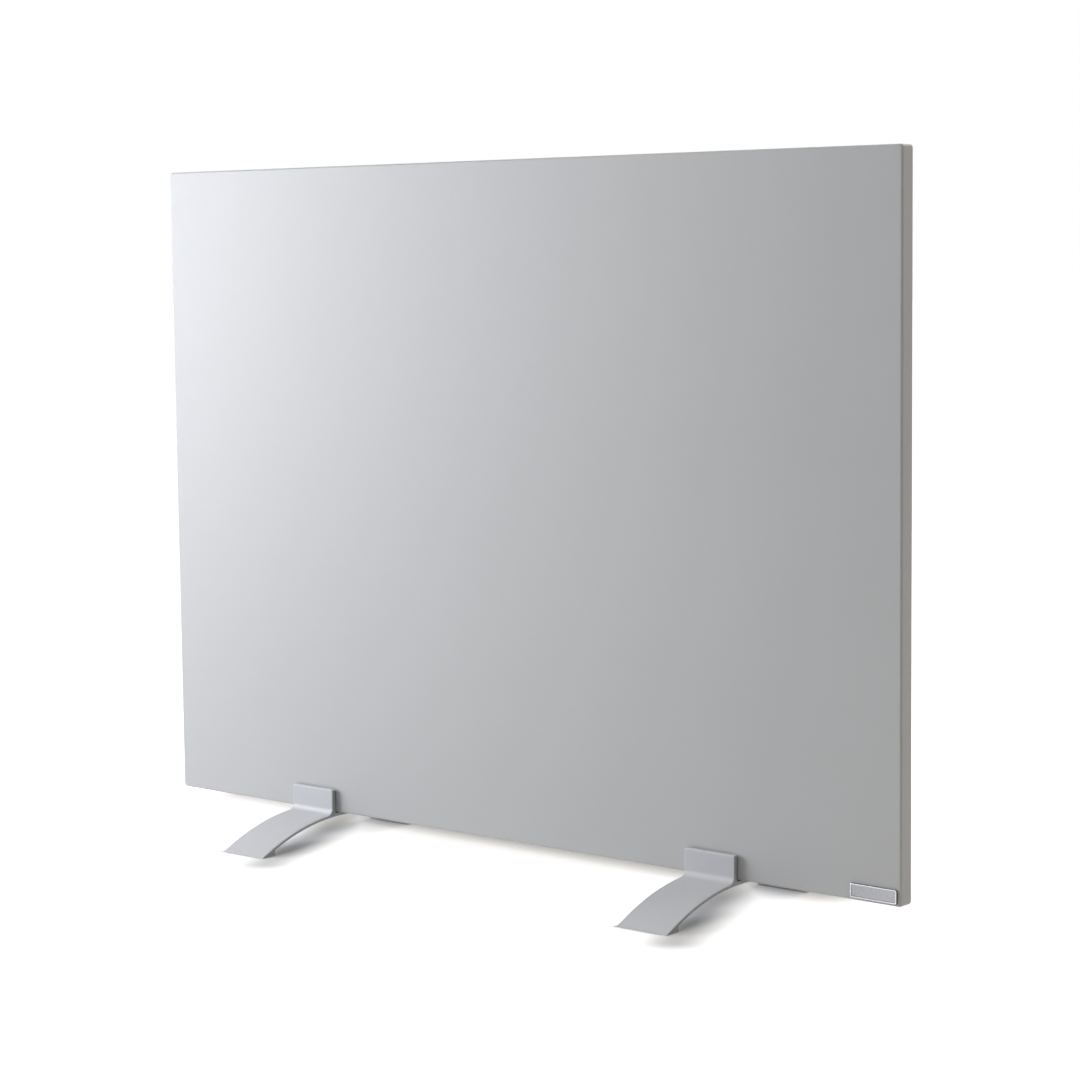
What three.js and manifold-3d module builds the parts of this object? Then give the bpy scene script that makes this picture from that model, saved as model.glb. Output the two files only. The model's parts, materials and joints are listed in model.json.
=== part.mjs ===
// Free-standing infrared panel heater: a thin sheet-metal panel that stands on two arched feet.
// Millimetres, +Z up. The origin is on the floor, under the middle of the panel. The front faces -Y.
// Everything is drawn in the panel's own frame: x to the right, y up from the floor, z towards the
// room, and the whole group is turned upright at the end.

import * as THREE from 'three';
import { mergeVertices } from 'three/addons/utils/BufferGeometryUtils.js';
import Module from 'manifold-3d';

// ---------------------------------------------------------------- driving dimensions

// Clearances
const layerGap = 0.1;             // between sheets that lie on each other
const fitGap = 0.3;               // between a fastener or a bush and its hole
const slideGap = 0.3;             // between the panel's edge and a foot's liner

// Panel shell
const panelWidth = 700;
const panelHeight = 500;
const panelLift = 23.5;           // floor to the panel's lower edge
const trayDepth = 12.8;
const traySheet = 1.2;
const bendRadius = 1.6;           // outside of each folded edge
const cornerRadius = 2.4;         // the tray's four corners, seen from the front
const lipWidth = 12;              // folded back all round the tray's rear
const lipCorner = 2;              // corners of the opening between the lips
const coverSheet = 0.8;
const coverInset = 2.5;           // from the tray's outline to the cover's edge

// Rear cover screws
const coverScrewInset = 6;        // from the panel's outline
const coverScrewFromCorner = 22;
const smallScrewRadius = 1.45;
const smallScrewHeadRadius = 2.8;
const smallScrewHeadHeight = 1.7;
const smallScrewHeadTaper = 0.6;  // how much narrower the head is at its top
const smallScrewHeadDome = 0.75;  // height of the head's tapered part
const smallScrewTipRadius = 0.5;
const coverScrewLength = 6;
const crossWidth = 0.7;           // recess in a screw head
const crossLength = 3.2;
const crossDepth = 0.9;

// Heating layers, from the front sheet backwards
const filmThickness = 0.5;
const trackThickness = 0.3;
const foilThickness = 0.3;
const filmMargin = 16;            // from the panel's outline
const filmCorner = 3;
const filmAboveSpacer = 1;        // the layers start this far above the clamp spacers
const trackMargin = 10;           // from the film's edge
const trackWidth = 14;
const trackPitch = 32;            // between neighbouring runs
const trackGap = 4;               // between the two feed strips, and from them to the runs beside them
const boardMargin = 9;            // insulation board, from the panel's outline
const rivetShankRadius = 1.5;
const rivetHeadRadius = 3.5;
const rivetHeadHeight = 0.8;

// Thermal cut-out
const cutoutLength = 20;
const cutoutWidth = 9;
const cutoutThickness = 4;
const cutoutCorner = 2;
const cutoutFrontEdge = 0.4;      // edge radii
const cutoutRearEdge = 0.8;
const cutoutShift = 32;           // left of the wiring window's middle
const cutoutDrop = 5;             // below the wiring window's middle

// Connection box on the rear, and the window behind it in the insulation
const boxWidth = 120;
const boxHeight = 80;
const boxDepth = 26;
const boxWall = 2;
const boxCorner = 5;
const boxLidThickness = 2;
const boxCentreHeight = 135;      // above the floor
const boxBossRadius = 4;
const boxBossInset = 5.4;         // boss axis from the box's outline
const gasketThickness = 0.8;
const gasketInset = 0.5;          // from the box's outline
const gasketInnerCorner = 1;
const lidScrewLength = 10;
const baseScrewLength = 5;
const baseScrewInset = 16;        // from the box's outline
const windowWidth = 100;
const windowHeight = 60;
const terminalFromWindow = 14;    // rivet terminals, below the window's upper edge

// Wiring
const leadRadius = 1.1;
const leadStep = 3.3;             // between the rings of a lead
const leadSides = 6;
const leadSpacing = 3.4;          // between the two leads in the grommet
const grommetDrop = 17;           // grommet axis below the box's middle
const grommetBore = 3.2;
const grommetNeck = 5;
const grommetRim = 6.8;
const grommetRimThickness = 1.4;
const earthShift = 24;            // earth stud, left of the box's middle
const earthFromBottom = 14;       // above the box's lower outline
const studRadius = 2;
const studLength = 11;
const studFlangeRadius = 3.2;
const studFlangeThickness = 1;
const washerRadius = 3.8;
const washerThickness = 0.8;
const nutAcrossFlats = 7;
const nutHeight = 3.2;
const ringTerminalRadius = 4.2;
const ringNeckWidth = 3;
const ringNeckLength = 1.2;       // from the eye's edge to the crimped barrel
const ringNeckOverlap = 1;        // how far the neck reaches into the barrel
const ringTerminalThickness = 0.8;
const ringBarrelRadius = 1.9;
const ringBarrelLength = 7;

// Terminal block
const blockWidth = 34;
const blockHeight = 18;
const blockDepth = 13;
const blockCorner = 1;
const blockRise = 8;              // block's middle above the box's middle
const polePitch = 10;
const poleBore = 1.8;
const poleFromFloor = 5.2;        // bore axis from the box's floor
const poleInsert = 4;             // how far a lead reaches into its pole
const poleScrewRadius = 1.9;
const poleScrewLength = 4;
const poleScrewSlot = 0.6;

// Cord gland in the box's lower wall
const glandShift = 34;            // right of the box's middle
const glandThreadRadius = 8;
const glandBore = 3.8;
const glandAcrossFlats = 19;
const glandFlangeThickness = 4.5;
const glandThreadInside = 9;
const glandThreadBelow = 9;
const glandNutLength = 17;
const glandNutMouth = 5.8;        // radius of the domed nut's flat end
const glandNutBore = 4.2;
const glandNutDome = 5.6;         // height of the domed part
const glandNutWall = 1.4;
const locknutThickness = 3.5;
const sealLength = 4;
const sealInset = 0.4;            // inside the thread's outline

// Feet
const footWidth = 43;
const footSpacing = 390;          // between the feet's middles
const footLength = 175;           // tip to tip
const footArchTop = 22.5;         // floor to the top of the arch
const footThickness = 2.5;
const footLandLength = 13.5;      // flat that rests on the floor, at each tip
const footTipHeight = 0.4;
const flangeThickness = 3.8;
const flangeHeight = 18;          // above the panel's lower edge
const flangeEdgeRadius = 1;
const flangeFilletRadius = 5;
const linerThickness = 1;
const linerDrop = 1.5;            // liner's edge below the flange's edge
const linerInset = 0.5;           // from the foot's cut ends
const clampScrewRadius = 2.4;
const clampScrewProud = 1.6;      // out of the rear flange
const clampScrewSpacing = 24;
const clampScrewHeight = 9;       // above the panel's lower edge
const clampScrewHex = 2.5;
const clampScrewHexDepth = 2.4;
const clampScrewChamfer = 0.3;
const spacerHeight = 16;
const spacerSheet = 1;

// Nameplate, left bare
const plateWidth = 37;
const plateHeight = 9.8;
const plateThickness = 1.4;
const plateBorder = 1.1;
const platePocketDepth = 0.5;
const plateCorner = 1.2;
const platePocketCorner = 0.5;
const plateEdgeRadius = 0.4;
const plateRearEdgeRadius = 0.05;
const plateFromRight = 2.9;
const plateFromBottom = 1.9;

// ---------------------------------------------------------------- derived places

const panelThickness = trayDepth + layerGap + coverSheet;
const frontFace = panelThickness / 2;
const rearFace = -panelThickness / 2;
const trayRear = frontFace - trayDepth;
const coverFront = trayRear - layerGap;
const lipInside = trayRear + traySheet;
const sheetInside = frontFace - traySheet;

const panelBottom = panelLift;
const panelTop = panelBottom + panelHeight;
const panelMiddle = (panelBottom + panelTop) / 2;

const spacerBottom = panelBottom + traySheet + fitGap;
const spacerTop = spacerBottom + spacerHeight;
const coldZone = spacerTop + filmAboveSpacer;   // no heating layers below this height

const frontFilmFace = sheetInside - layerGap;
const trackFace = frontFilmFace - filmThickness - layerGap;
const rearFilmFace = trackFace - trackThickness - layerGap;
const foilFace = rearFilmFace - filmThickness - layerGap;
const boardFace = foilFace - foilThickness - layerGap;
const boardRear = lipInside + layerGap;
const foilRear = foilFace - foilThickness;

const filmLeft = -panelWidth / 2 + filmMargin;
const filmBottom = Math.max(coldZone, panelBottom + filmMargin);
const filmTop = panelTop - filmMargin;

const boxBottom = boxCentreHeight - boxHeight / 2;
const boxFace = rearFace - layerGap;
const boxBaseDepth = boxDepth - boxLidThickness - gasketThickness - 2 * layerGap;
const boxFloor = boxFace - boxWall;
const boxRim = boxFace - boxBaseDepth;
const gasketFace = boxRim - layerGap;
const lidFace = gasketFace - gasketThickness - layerGap;
const lidRear = lidFace - boxLidThickness;
const boxMidDepth = (boxFloor + boxRim) / 2;
const terminalHeight = boxCentreHeight + windowHeight / 2 - terminalFromWindow;
const terminalOffset = (trackGap + trackWidth) / 2;
const cutoutHeight = boxCentreHeight - cutoutDrop;
const grommetHeight = boxCentreHeight - grommetDrop;
const earthHeight = boxBottom + earthFromBottom;
const blockCentre = boxCentreHeight + blockRise;
const blockFace = boxFloor - layerGap;
const poleDepth = blockFace - poleFromFloor;
const poleEntry = blockCentre - blockHeight / 2 + poleInsert;
const grommetFront = coverFront + fitGap + grommetRimThickness;
const leadOverRivet = foilRear - layerGap - rivetHeadHeight - fitGap - leadRadius;
const leadOverFoil = foilRear - 2 * leadRadius;
const cutoutMiddle = foilRear - layerGap - cutoutThickness / 2;

const channelHalf = panelThickness / 2 + slideGap + linerThickness;
const flangeOuter = channelHalf + flangeThickness;
const linerFloor = panelBottom - linerThickness;
const flangeTop = panelBottom + flangeHeight;
const archRadius = archRadiusFor(footLength / 2, footArchTop - footTipHeight);
const archCentre = footArchTop - archRadius;

const round = 24;                 // sides of a round piece
const smallRound = 12;            // sides of a small round piece
const coarseArc = 4;              // half the steps in one arc of an outline
const plainArc = 6;
const fineArc = 10;
const cutOver = 1;                // how far a cutting tool reaches past each face that it cuts
const quarterTurn = Math.PI / 2;

// ---------------------------------------------------------------- finishes

function finish(color, roughness, metalness) {
  return new THREE.MeshStandardMaterial({ color, roughness, metalness });
}

const finishes = {
  paint: () => finish(0xcfd1d2, 0.5, 0.1),
  galvanised: () => finish(0xa9adb0, 0.45, 0.85),
  aluminium: () => finish(0xc3c6ca, 0.38, 0.7),
  steel: () => finish(0xb4b6b8, 0.3, 0.95),
  nickel: () => finish(0xd0d1d3, 0.18, 1),
  brass: () => finish(0xc2a35a, 0.3, 1),
  blackSteel: () => finish(0x2b2c2e, 0.5, 0.6),
  film: () => finish(0xb8893a, 0.4, 0),
  resistance: () => finish(0x6f6a60, 0.4, 0.8),
  foil: () => finish(0xdadcde, 0.2, 1),
  wool: () => finish(0xd9cfa8, 0.95, 0),
  rubber: () => finish(0x6e7073, 0.85, 0),
  blackRubber: () => finish(0x1f1f20, 0.85, 0),
  housing: () => finish(0x9c9ea0, 0.6, 0),
  nylon: () => finish(0xe6e4dc, 0.5, 0),
  ceramic: () => finish(0xf0ede4, 0.35, 0),
  brownLead: () => finish(0x6a3f22, 0.6, 0),
  blueLead: () => finish(0x2d63a8, 0.6, 0),
  redLead: () => finish(0x9d2f28, 0.6, 0),
  greenLead: () => finish(0x5e9a3c, 0.6, 0),
};

function piece(name, geometry, look) {
  const mesh = new THREE.Mesh(geometry, finishes[look]());
  mesh.name = name;
  return mesh;
}

// ---------------------------------------------------------------- solids

const wasm = await Module();
wasm.setup();

function toSolid(geometry) {
  const bare = geometry.clone();
  bare.deleteAttribute('normal');
  bare.deleteAttribute('uv');
  const merged = mergeVertices(bare, 1e-4);
  const mesh = new wasm.Mesh({
    numProp: 3,
    vertProperties: new Float32Array(merged.attributes.position.array),
    triVerts: new Uint32Array(merged.index.array),
  });
  return new wasm.Manifold(mesh);
}

function toGeometry(solid) {
  const mesh = solid.getMesh();
  const geometry = new THREE.BufferGeometry();
  geometry.setAttribute('position', new THREE.BufferAttribute(new Float32Array(mesh.vertProperties), 3));
  geometry.setIndex(new THREE.BufferAttribute(new Uint32Array(mesh.triVerts), 1));
  geometry.computeVertexNormals();
  return geometry;
}

function cut(geometry, ...tools) {
  const solid = tools.reduce((body, tool) => body.subtract(toSolid(tool)), toSolid(geometry));
  return toGeometry(solid);
}

function join(...geometries) {
  const solid = geometries.map(toSolid).reduce((body, next) => body.add(next));
  return toGeometry(solid);
}

// Radius of an arc that drops by the given height at half the given length from its top.
function archRadiusFor(halfLength, height) {
  return (halfLength * halfLength + height * height) / (2 * height);
}

function rectangle(width, height, radius = 0, x = 0, y = 0) {
  const shape = new THREE.Shape();
  addRectangle(shape, width, height, radius, x, y);
  return shape;
}

function addRectangle(path, width, height, radius, x, y) {
  const right = x + width / 2;
  const left = x - width / 2;
  const top = y + height / 2;
  const bottom = y - height / 2;
  path.moveTo(right, bottom + radius);
  path.lineTo(right, top - radius);
  if (radius) path.absarc(right - radius, top - radius, radius, 0, quarterTurn, false);
  path.lineTo(left + radius, top);
  if (radius) path.absarc(left + radius, top - radius, radius, quarterTurn, 2 * quarterTurn, false);
  path.lineTo(left, bottom + radius);
  if (radius) path.absarc(left + radius, bottom + radius, radius, 2 * quarterTurn, 3 * quarterTurn, false);
  path.lineTo(right - radius, bottom);
  if (radius) path.absarc(right - radius, bottom + radius, radius, 3 * quarterTurn, 4 * quarterTurn, false);
}

function circleHole(x, y, radius) {
  const hole = new THREE.Path();
  hole.absarc(x, y, radius, 0, 4 * quarterTurn, true);
  return hole;
}

function rectangleHole(width, height, radius, x, y) {
  const hole = new THREE.Path();
  addRectangle(hole, width, height, radius, x, y);
  return hole;
}

function polygonShape(sides, radius) {
  const corners = Array.from({ length: sides }, (_, k) => {
    const angle = (k + 0.5) * 2 * Math.PI / sides;
    return new THREE.Vector2(radius * Math.cos(angle), radius * Math.sin(angle));
  });
  return new THREE.Shape(corners);
}

// A flat plate whose front face is at z = face and which goes back by its thickness.
function plate(shape, thickness, face, curveSegments = plainArc) {
  const options = { depth: thickness, bevelEnabled: false, curveSegments };
  const geometry = new THREE.ExtrudeGeometry(shape, options);
  geometry.translate(0, 0, face - thickness);
  return geometry;
}

// A turned piece about the z axis: profile points are [radius, z].
function turned(profile, sides = round) {
  const points = profile.map(([radius, z]) => new THREE.Vector2(radius, z));
  const geometry = new THREE.LatheGeometry(points, sides);
  geometry.rotateX(quarterTurn);
  return geometry;
}

function ring(outer, bore, face, length, sides = round) {
  return turned([[bore, face - length], [outer, face - length], [outer, face], [bore, face],
    [bore, face - length]], sides);
}

function rod(radius, face, length, sides = smallRound) {
  return turned([[0, face - length], [radius, face - length], [radius, face], [0, face]], sides);
}

// A rod that cuts a hole through a wall whose front face is at z = face.
function holeTool(radius, face, depth, sides = smallRound) {
  return rod(radius, face + cutOver, depth + 2 * cutOver, sides);
}

// Outline points of a rectangle with round corners, the same number whatever its size.
function outlinePoints(width, height, radius, cornerSteps) {
  const centres = [
    [width / 2 - radius, height / 2 - radius],
    [-width / 2 + radius, height / 2 - radius],
    [-width / 2 + radius, -height / 2 + radius],
    [width / 2 - radius, -height / 2 + radius],
  ];
  return centres.flatMap(([x, y], corner) => Array.from({ length: cornerSteps + 1 }, (_, k) => {
    const angle = (corner + k / cornerSteps) * quarterTurn;
    return [x + radius * Math.cos(angle), y + radius * Math.sin(angle)];
  }));
}

// A slab with round corners whose front and rear edges are rounded too.
function roundedSlab({ width, height, face, depth, corner, frontRadius, rearRadius, edgeSteps = 4 }) {
  const rings = [];
  for (let k = 0; k <= edgeSteps; k += 1) {
    const angle = (k / edgeSteps) * quarterTurn;
    rings.push([frontRadius * (1 - Math.sin(angle)), face - frontRadius * (1 - Math.cos(angle))]);
  }
  for (let k = edgeSteps; k >= 0; k -= 1) {
    const angle = (k / edgeSteps) * quarterTurn;
    rings.push([rearRadius * (1 - Math.sin(angle)), face - depth + rearRadius * (1 - Math.cos(angle))]);
  }
  return loft(rings.map(([inset, z]) => outlinePoints(width - 2 * inset, height - 2 * inset,
    corner - inset, edgeSteps).map(([x, y]) => [x, y, z])));
}

// Joins closed outlines of equal point counts, from the front one to the rear one, and caps the ends.
function loft(outlines) {
  const count = outlines[0].length;
  const positions = outlines.flat(2);
  const last = (outlines.length - 1) * count;
  const index = [];
  for (let row = 0; row < outlines.length - 1; row += 1) {
    for (let k = 0; k < count; k += 1) {
      const a = row * count + k;
      const b = row * count + (k + 1) % count;
      index.push(a, a + count, b, b, a + count, b + count);
    }
  }
  for (let k = 1; k < count - 1; k += 1) {
    index.push(0, k, k + 1);
    index.push(last, last + k + 1, last + k);
  }
  const geometry = new THREE.BufferGeometry();
  geometry.setAttribute('position', new THREE.Float32BufferAttribute(positions, 3));
  geometry.setIndex(index);
  geometry.computeVertexNormals();
  return geometry;
}

// A pan-head screw that points forwards (+z), its head's underside at z = seat.
function screwGeometry(length, seat) {
  const headTop = seat - smallScrewHeadHeight;
  const tip = seat + length;
  const body = turned([
    [0, headTop],
    [smallScrewHeadRadius - smallScrewHeadTaper, headTop],
    [smallScrewHeadRadius, headTop + smallScrewHeadDome],
    [smallScrewHeadRadius, seat],
    [smallScrewRadius, seat],
    [smallScrewRadius, tip - smallScrewRadius],
    [smallScrewTipRadius, tip],
    [0, tip],
  ], smallRound);
  const bar = () => plate(rectangle(crossLength, crossWidth), 2 * crossDepth, headTop + crossDepth);
  return cut(body, bar(), bar().rotateZ(quarterTurn));
}

function screw(name, x, y, seat, length, look = 'nickel') {
  const mesh = piece(name, screwGeometry(length, seat), look);
  mesh.position.set(x, y, 0);
  return mesh;
}

// A round lead along a smooth curve through hand-picked points.
function lead(name, points, look) {
  const places = points.map((point) => new THREE.Vector3(...point));
  const curve = new THREE.CatmullRomCurve3(places, false, 'centripetal');
  const geometry = new THREE.ExtrudeGeometry(polygonShape(leadSides, leadRadius), {
    steps: Math.ceil(curve.getLength() / leadStep),
    bevelEnabled: false,
    extrudePath: curve,
  });
  return piece(name, geometry, look);
}

// ---------------------------------------------------------------- panel shell

function coverScrewPlaces() {
  const side = panelWidth / 2 - coverScrewInset;
  const outer = panelWidth / 2 - coverScrewFromCorner;
  const rows = [panelBottom + coverScrewInset, panelTop - coverScrewInset];
  const alongEdges = rows.flatMap((y) => [-outer, 0, outer].map((x) => [x, y]));
  const onSides = [[-side, panelMiddle], [side, panelMiddle]];
  return [...alongEdges, ...onSides];
}

function boxScrewPlaces(inset) {
  const x = boxWidth / 2 - inset;
  const y = boxHeight / 2 - inset;
  return [[-x, -y], [x, -y], [-x, y], [x, y]].map(([dx, dy]) => [dx, boxCentreHeight + dy]);
}

function frontPanel() {
  const outside = roundedSlab({
    width: panelWidth,
    height: panelHeight,
    face: frontFace,
    depth: trayDepth,
    corner: cornerRadius,
    frontRadius: bendRadius,
    rearRadius: bendRadius,
  });
  const inside = roundedSlab({
    width: panelWidth - 2 * traySheet,
    height: panelHeight - 2 * traySheet,
    face: sheetInside,
    depth: trayDepth - 2 * traySheet,
    corner: cornerRadius - traySheet,
    frontRadius: bendRadius - traySheet,
    rearRadius: bendRadius - traySheet,
    edgeSteps: 2,
  });
  const openingShape = rectangle(panelWidth - 2 * lipWidth, panelHeight - 2 * lipWidth, lipCorner);
  const opening = plate(openingShape, traySheet + 2 * cutOver, lipInside + cutOver);
  const shell = cut(outside, inside, opening);
  shell.translate(0, panelMiddle, 0);
  const holeRadius = smallScrewRadius + fitGap;
  const holes = coverScrewPlaces().map(([x, y]) => (
    holeTool(holeRadius, lipInside, traySheet).translate(x, y, 0)));
  return piece('front_panel', cut(shell, ...holes), 'paint');
}

function rearCover() {
  const width = panelWidth - 2 * coverInset;
  const height = panelHeight - 2 * coverInset;
  const shape = rectangle(width, height, cornerRadius, 0, panelMiddle);
  const screwHole = smallScrewRadius + fitGap;
  const holes = [...coverScrewPlaces(), ...boxScrewPlaces(baseScrewInset)];
  shape.holes = holes.map(([x, y]) => circleHole(x, y, screwHole));
  shape.holes.push(circleHole(0, grommetHeight, grommetNeck + fitGap));
  return piece('rear_cover', plate(shape, coverSheet, coverFront), 'paint');
}

function nameplate() {
  const slab = {
    width: plateWidth,
    height: plateHeight,
    face: frontFace + layerGap + plateThickness,
    depth: plateThickness,
    corner: plateCorner,
    frontRadius: plateEdgeRadius,
    rearRadius: plateRearEdgeRadius,
    edgeSteps: 3,
  };
  const pocketWidth = plateWidth - 2 * plateBorder;
  const pocketHeight = plateHeight - 2 * plateBorder;
  const pocketShape = rectangle(pocketWidth, pocketHeight, platePocketCorner);
  const pocket = plate(pocketShape, platePocketDepth + cutOver, slab.face + cutOver);
  const mesh = piece('nameplate', cut(roundedSlab(slab), pocket), 'nickel');
  mesh.position.x = panelWidth / 2 - plateFromRight - plateWidth / 2;
  mesh.position.y = panelBottom + plateFromBottom + plateHeight / 2;
  return mesh;
}

// ---------------------------------------------------------------- heating layers

function filmShape(holes = []) {
  const height = filmTop - filmBottom;
  const shape = rectangle(-2 * filmLeft, height, filmCorner, 0, filmBottom + height / 2);
  shape.holes = holes;
  return shape;
}

function terminalHoles() {
  const radius = rivetShankRadius + fitGap;
  return [-1, 1].map((side) => circleHole(side * terminalOffset, terminalHeight, radius));
}

// The middle line of one half of the heating track: down the feed strip from its terminal, then up
// in level runs to the top, where it meets the other half.
function halfTrack(side) {
  const inner = terminalOffset + trackWidth + trackGap;
  const outer = -filmLeft - trackMargin - trackWidth / 2;
  const lowest = filmBottom + trackMargin + trackWidth / 2;
  const highest = filmTop - trackMargin - trackWidth / 2;
  const turns = Math.floor(((highest - lowest) / trackPitch + 1) / 2);
  const firstRun = highest - (2 * turns - 1) * trackPitch;
  const points = [
    [side * terminalOffset, terminalHeight + trackWidth / 2],
    [side * terminalOffset, firstRun],
  ];
  for (let turn = 0; turn < turns; turn += 1) {
    const y = firstRun + 2 * turn * trackPitch;
    if (turn > 0) points.push([side * inner, y]);
    points.push([side * outer, y], [side * outer, y + trackPitch], [side * inner, y + trackPitch]);
  }
  return points;
}

// Widens a line of square turns into a flat ribbon. At a turn the offsets of both stretches add up
// to the mitred corner, and along a straight stretch they are the same one twice.
function ribbon(points, width) {
  const unit = (from, to) => {
    const length = Math.hypot(to[0] - from[0], to[1] - from[1]);
    return [(to[0] - from[0]) / length, (to[1] - from[1]) / length];
  };
  const sideOf = (sign) => points.map((point, k) => {
    const before = unit(points[Math.max(k - 1, 0)], points[Math.max(k, 1)]);
    const after = unit(points[Math.min(k, points.length - 2)], points[Math.min(k + 1, points.length - 1)]);
    const turns = before[0] * after[0] + before[1] * after[1] < 1;
    const offset = sign * width / (turns ? 2 : 4);
    const x = point[0] - (before[1] + after[1]) * offset;
    const y = point[1] + (before[0] + after[0]) * offset;
    return new THREE.Vector2(x, y);
  });
  return new THREE.Shape([...sideOf(1), ...sideOf(-1).reverse()]);
}

function heatingTrack() {
  const shape = ribbon([...halfTrack(-1), ...halfTrack(1).reverse()], trackWidth);
  return piece('heating_track', plate(shape, trackThickness, trackFace), 'resistance');
}

function insulationBoard() {
  const bottom = coldZone;
  const top = panelTop - boardMargin;
  const width = panelWidth - 2 * boardMargin;
  const shape = rectangle(width, top - bottom, 0, 0, (top + bottom) / 2);
  shape.holes.push(rectangleHole(windowWidth, windowHeight, 0, 0, boxCentreHeight));
  return piece('insulation_board', plate(shape, boardFace - boardRear, boardFace), 'wool');
}

function rivetTerminal(name, side) {
  const headFront = foilRear - layerGap;
  const headRear = headFront - rivetHeadHeight;
  const geometry = turned([
    [0, headRear],
    [rivetHeadRadius, headRear],
    [rivetHeadRadius, headFront],
    [rivetShankRadius, headFront],
    [rivetShankRadius, rearFilmFace],
    [0, rearFilmFace],
  ], smallRound);
  const mesh = piece(name, geometry, 'brass');
  mesh.position.set(side * terminalOffset, terminalHeight, 0);
  return mesh;
}

function thermalCutout() {
  const geometry = roundedSlab({
    width: cutoutLength,
    height: cutoutWidth,
    face: foilRear - layerGap,
    depth: cutoutThickness,
    corner: cutoutCorner,
    frontRadius: cutoutFrontEdge,
    rearRadius: cutoutRearEdge,
    edgeSteps: 3,
  });
  const mesh = piece('thermal_cutout', geometry, 'ceramic');
  mesh.position.set(-cutoutShift, cutoutHeight, 0);
  return mesh;
}

function heatingLayers() {
  const group = new THREE.Group();
  group.add(
    piece('front_film', plate(filmShape(), filmThickness, frontFilmFace), 'film'),
    heatingTrack(),
    piece('rear_film', plate(filmShape(terminalHoles()), filmThickness, rearFilmFace), 'film'),
    piece('reflector_foil', plate(filmShape(terminalHoles()), foilThickness, foilFace), 'foil'),
    insulationBoard(),
    rivetTerminal('live_terminal', -1),
    rivetTerminal('neutral_terminal', 1),
    thermalCutout(),
  );
  return group;
}

// ---------------------------------------------------------------- connection box

function boxBase() {
  const outside = plate(rectangle(boxWidth, boxHeight, boxCorner), boxBaseDepth, boxFace);
  const cavityShape = rectangle(boxWidth - 2 * boxWall, boxHeight - 2 * boxWall, boxCorner - boxWall);
  const cavity = plate(cavityShape, boxBaseDepth, boxFloor);
  const shell = cut(outside, cavity);
  const relative = ([x, y]) => [x, y - boxCentreHeight];
  const bosses = boxScrewPlaces(boxBossInset).map(relative).map(([x, y]) => (
    rod(boxBossRadius, boxFloor + boxWall / 2, boxBaseDepth - boxWall / 2).translate(x, y, 0)));
  const holeRadius = smallScrewRadius + fitGap;
  const bossHoles = boxScrewPlaces(boxBossInset).map(relative).map(([x, y]) => (
    rod(holeRadius, boxRim + lidScrewLength, lidScrewLength + cutOver).translate(x, y, 0)));
  const floorHole = (x, y, radius) => holeTool(radius, boxFace, boxWall).translate(x, y, 0);
  const screwHoles = boxScrewPlaces(baseScrewInset)
    .map(relative)
    .map(([x, y]) => floorHole(x, y, holeRadius));
  const glandHole = rod(glandThreadRadius + fitGap, boxWall, 2 * boxWall, round)
    .rotateX(-quarterTurn)
    .translate(glandShift, -boxHeight / 2, boxMidDepth);
  const geometry = cut(
    join(shell, ...bosses),
    ...bossHoles,
    ...screwHoles,
    floorHole(0, -grommetDrop, grommetNeck + fitGap),
    floorHole(-earthShift, earthHeight - boxCentreHeight, studFlangeRadius + fitGap),
    glandHole,
  );
  geometry.translate(0, boxCentreHeight, 0);
  return piece('box_base', geometry, 'housing');
}

function boxGasket() {
  const width = boxWidth - 2 * gasketInset;
  const height = boxHeight - 2 * gasketInset;
  const shape = rectangle(width, height, boxCorner - gasketInset, 0, boxCentreHeight);
  const strip = 2 * (boxBossInset + boxBossRadius);
  shape.holes.push(
    rectangleHole(boxWidth - strip, boxHeight - strip, gasketInnerCorner, 0, boxCentreHeight),
  );
  const holeRadius = smallScrewRadius + fitGap;
  boxScrewPlaces(boxBossInset).forEach(([x, y]) => shape.holes.push(circleHole(x, y, holeRadius)));
  return piece('box_gasket', plate(shape, gasketThickness, gasketFace, coarseArc), 'blackRubber');
}

function boxLid() {
  const shape = rectangle(boxWidth, boxHeight, boxCorner, 0, boxCentreHeight);
  const holeRadius = smallScrewRadius + fitGap;
  shape.holes = boxScrewPlaces(boxBossInset).map(([x, y]) => circleHole(x, y, holeRadius));
  return piece('box_lid', plate(shape, boxLidThickness, lidFace), 'housing');
}

function terminalBlock() {
  const body = plate(rectangle(blockWidth, blockHeight, blockCorner), blockDepth, blockFace);
  const poles = [-1, 0, 1].map((k) => k * polePitch);
  const wireHoles = poles.map((x) => rod(poleBore, blockHeight, 2 * blockHeight)
    .rotateX(-quarterTurn)
    .translate(x, 0, poleDepth));
  const screwHoles = poles.map((x) => (
    rod(poleScrewRadius + fitGap, poleDepth, blockDepth).translate(x, 0, 0)));
  const geometry = cut(body, ...wireHoles, ...screwHoles);
  geometry.translate(0, blockCentre, 0);
  return piece('terminal_block', geometry, 'nylon');
}

function poleScrew(name, x) {
  const tip = poleDepth - poleBore;
  const head = tip - poleScrewLength;
  const slotShape = rectangle(3 * poleScrewRadius, poleScrewSlot);
  const slot = plate(slotShape, 2 * poleScrewSlot, head + poleScrewSlot);
  const mesh = piece(name, cut(rod(poleScrewRadius, tip, poleScrewLength), slot), 'brass');
  mesh.position.set(x, blockCentre, 0);
  return mesh;
}

function grommet() {
  const neckFront = grommetFront - grommetRimThickness;
  const neckRear = boxFloor - fitGap;
  const profile = [
    [grommetBore, neckRear - grommetRimThickness],
    [grommetRim, neckRear - grommetRimThickness],
    [grommetRim, neckRear],
    [grommetNeck, neckRear],
    [grommetNeck, neckFront],
    [grommetRim, neckFront],
    [grommetRim, grommetFront],
    [grommetBore, grommetFront],
    [grommetBore, neckRear - grommetRimThickness],
  ];
  const mesh = piece('lead_grommet', turned(profile), 'blackRubber');
  mesh.position.y = grommetHeight;
  return mesh;
}

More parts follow.
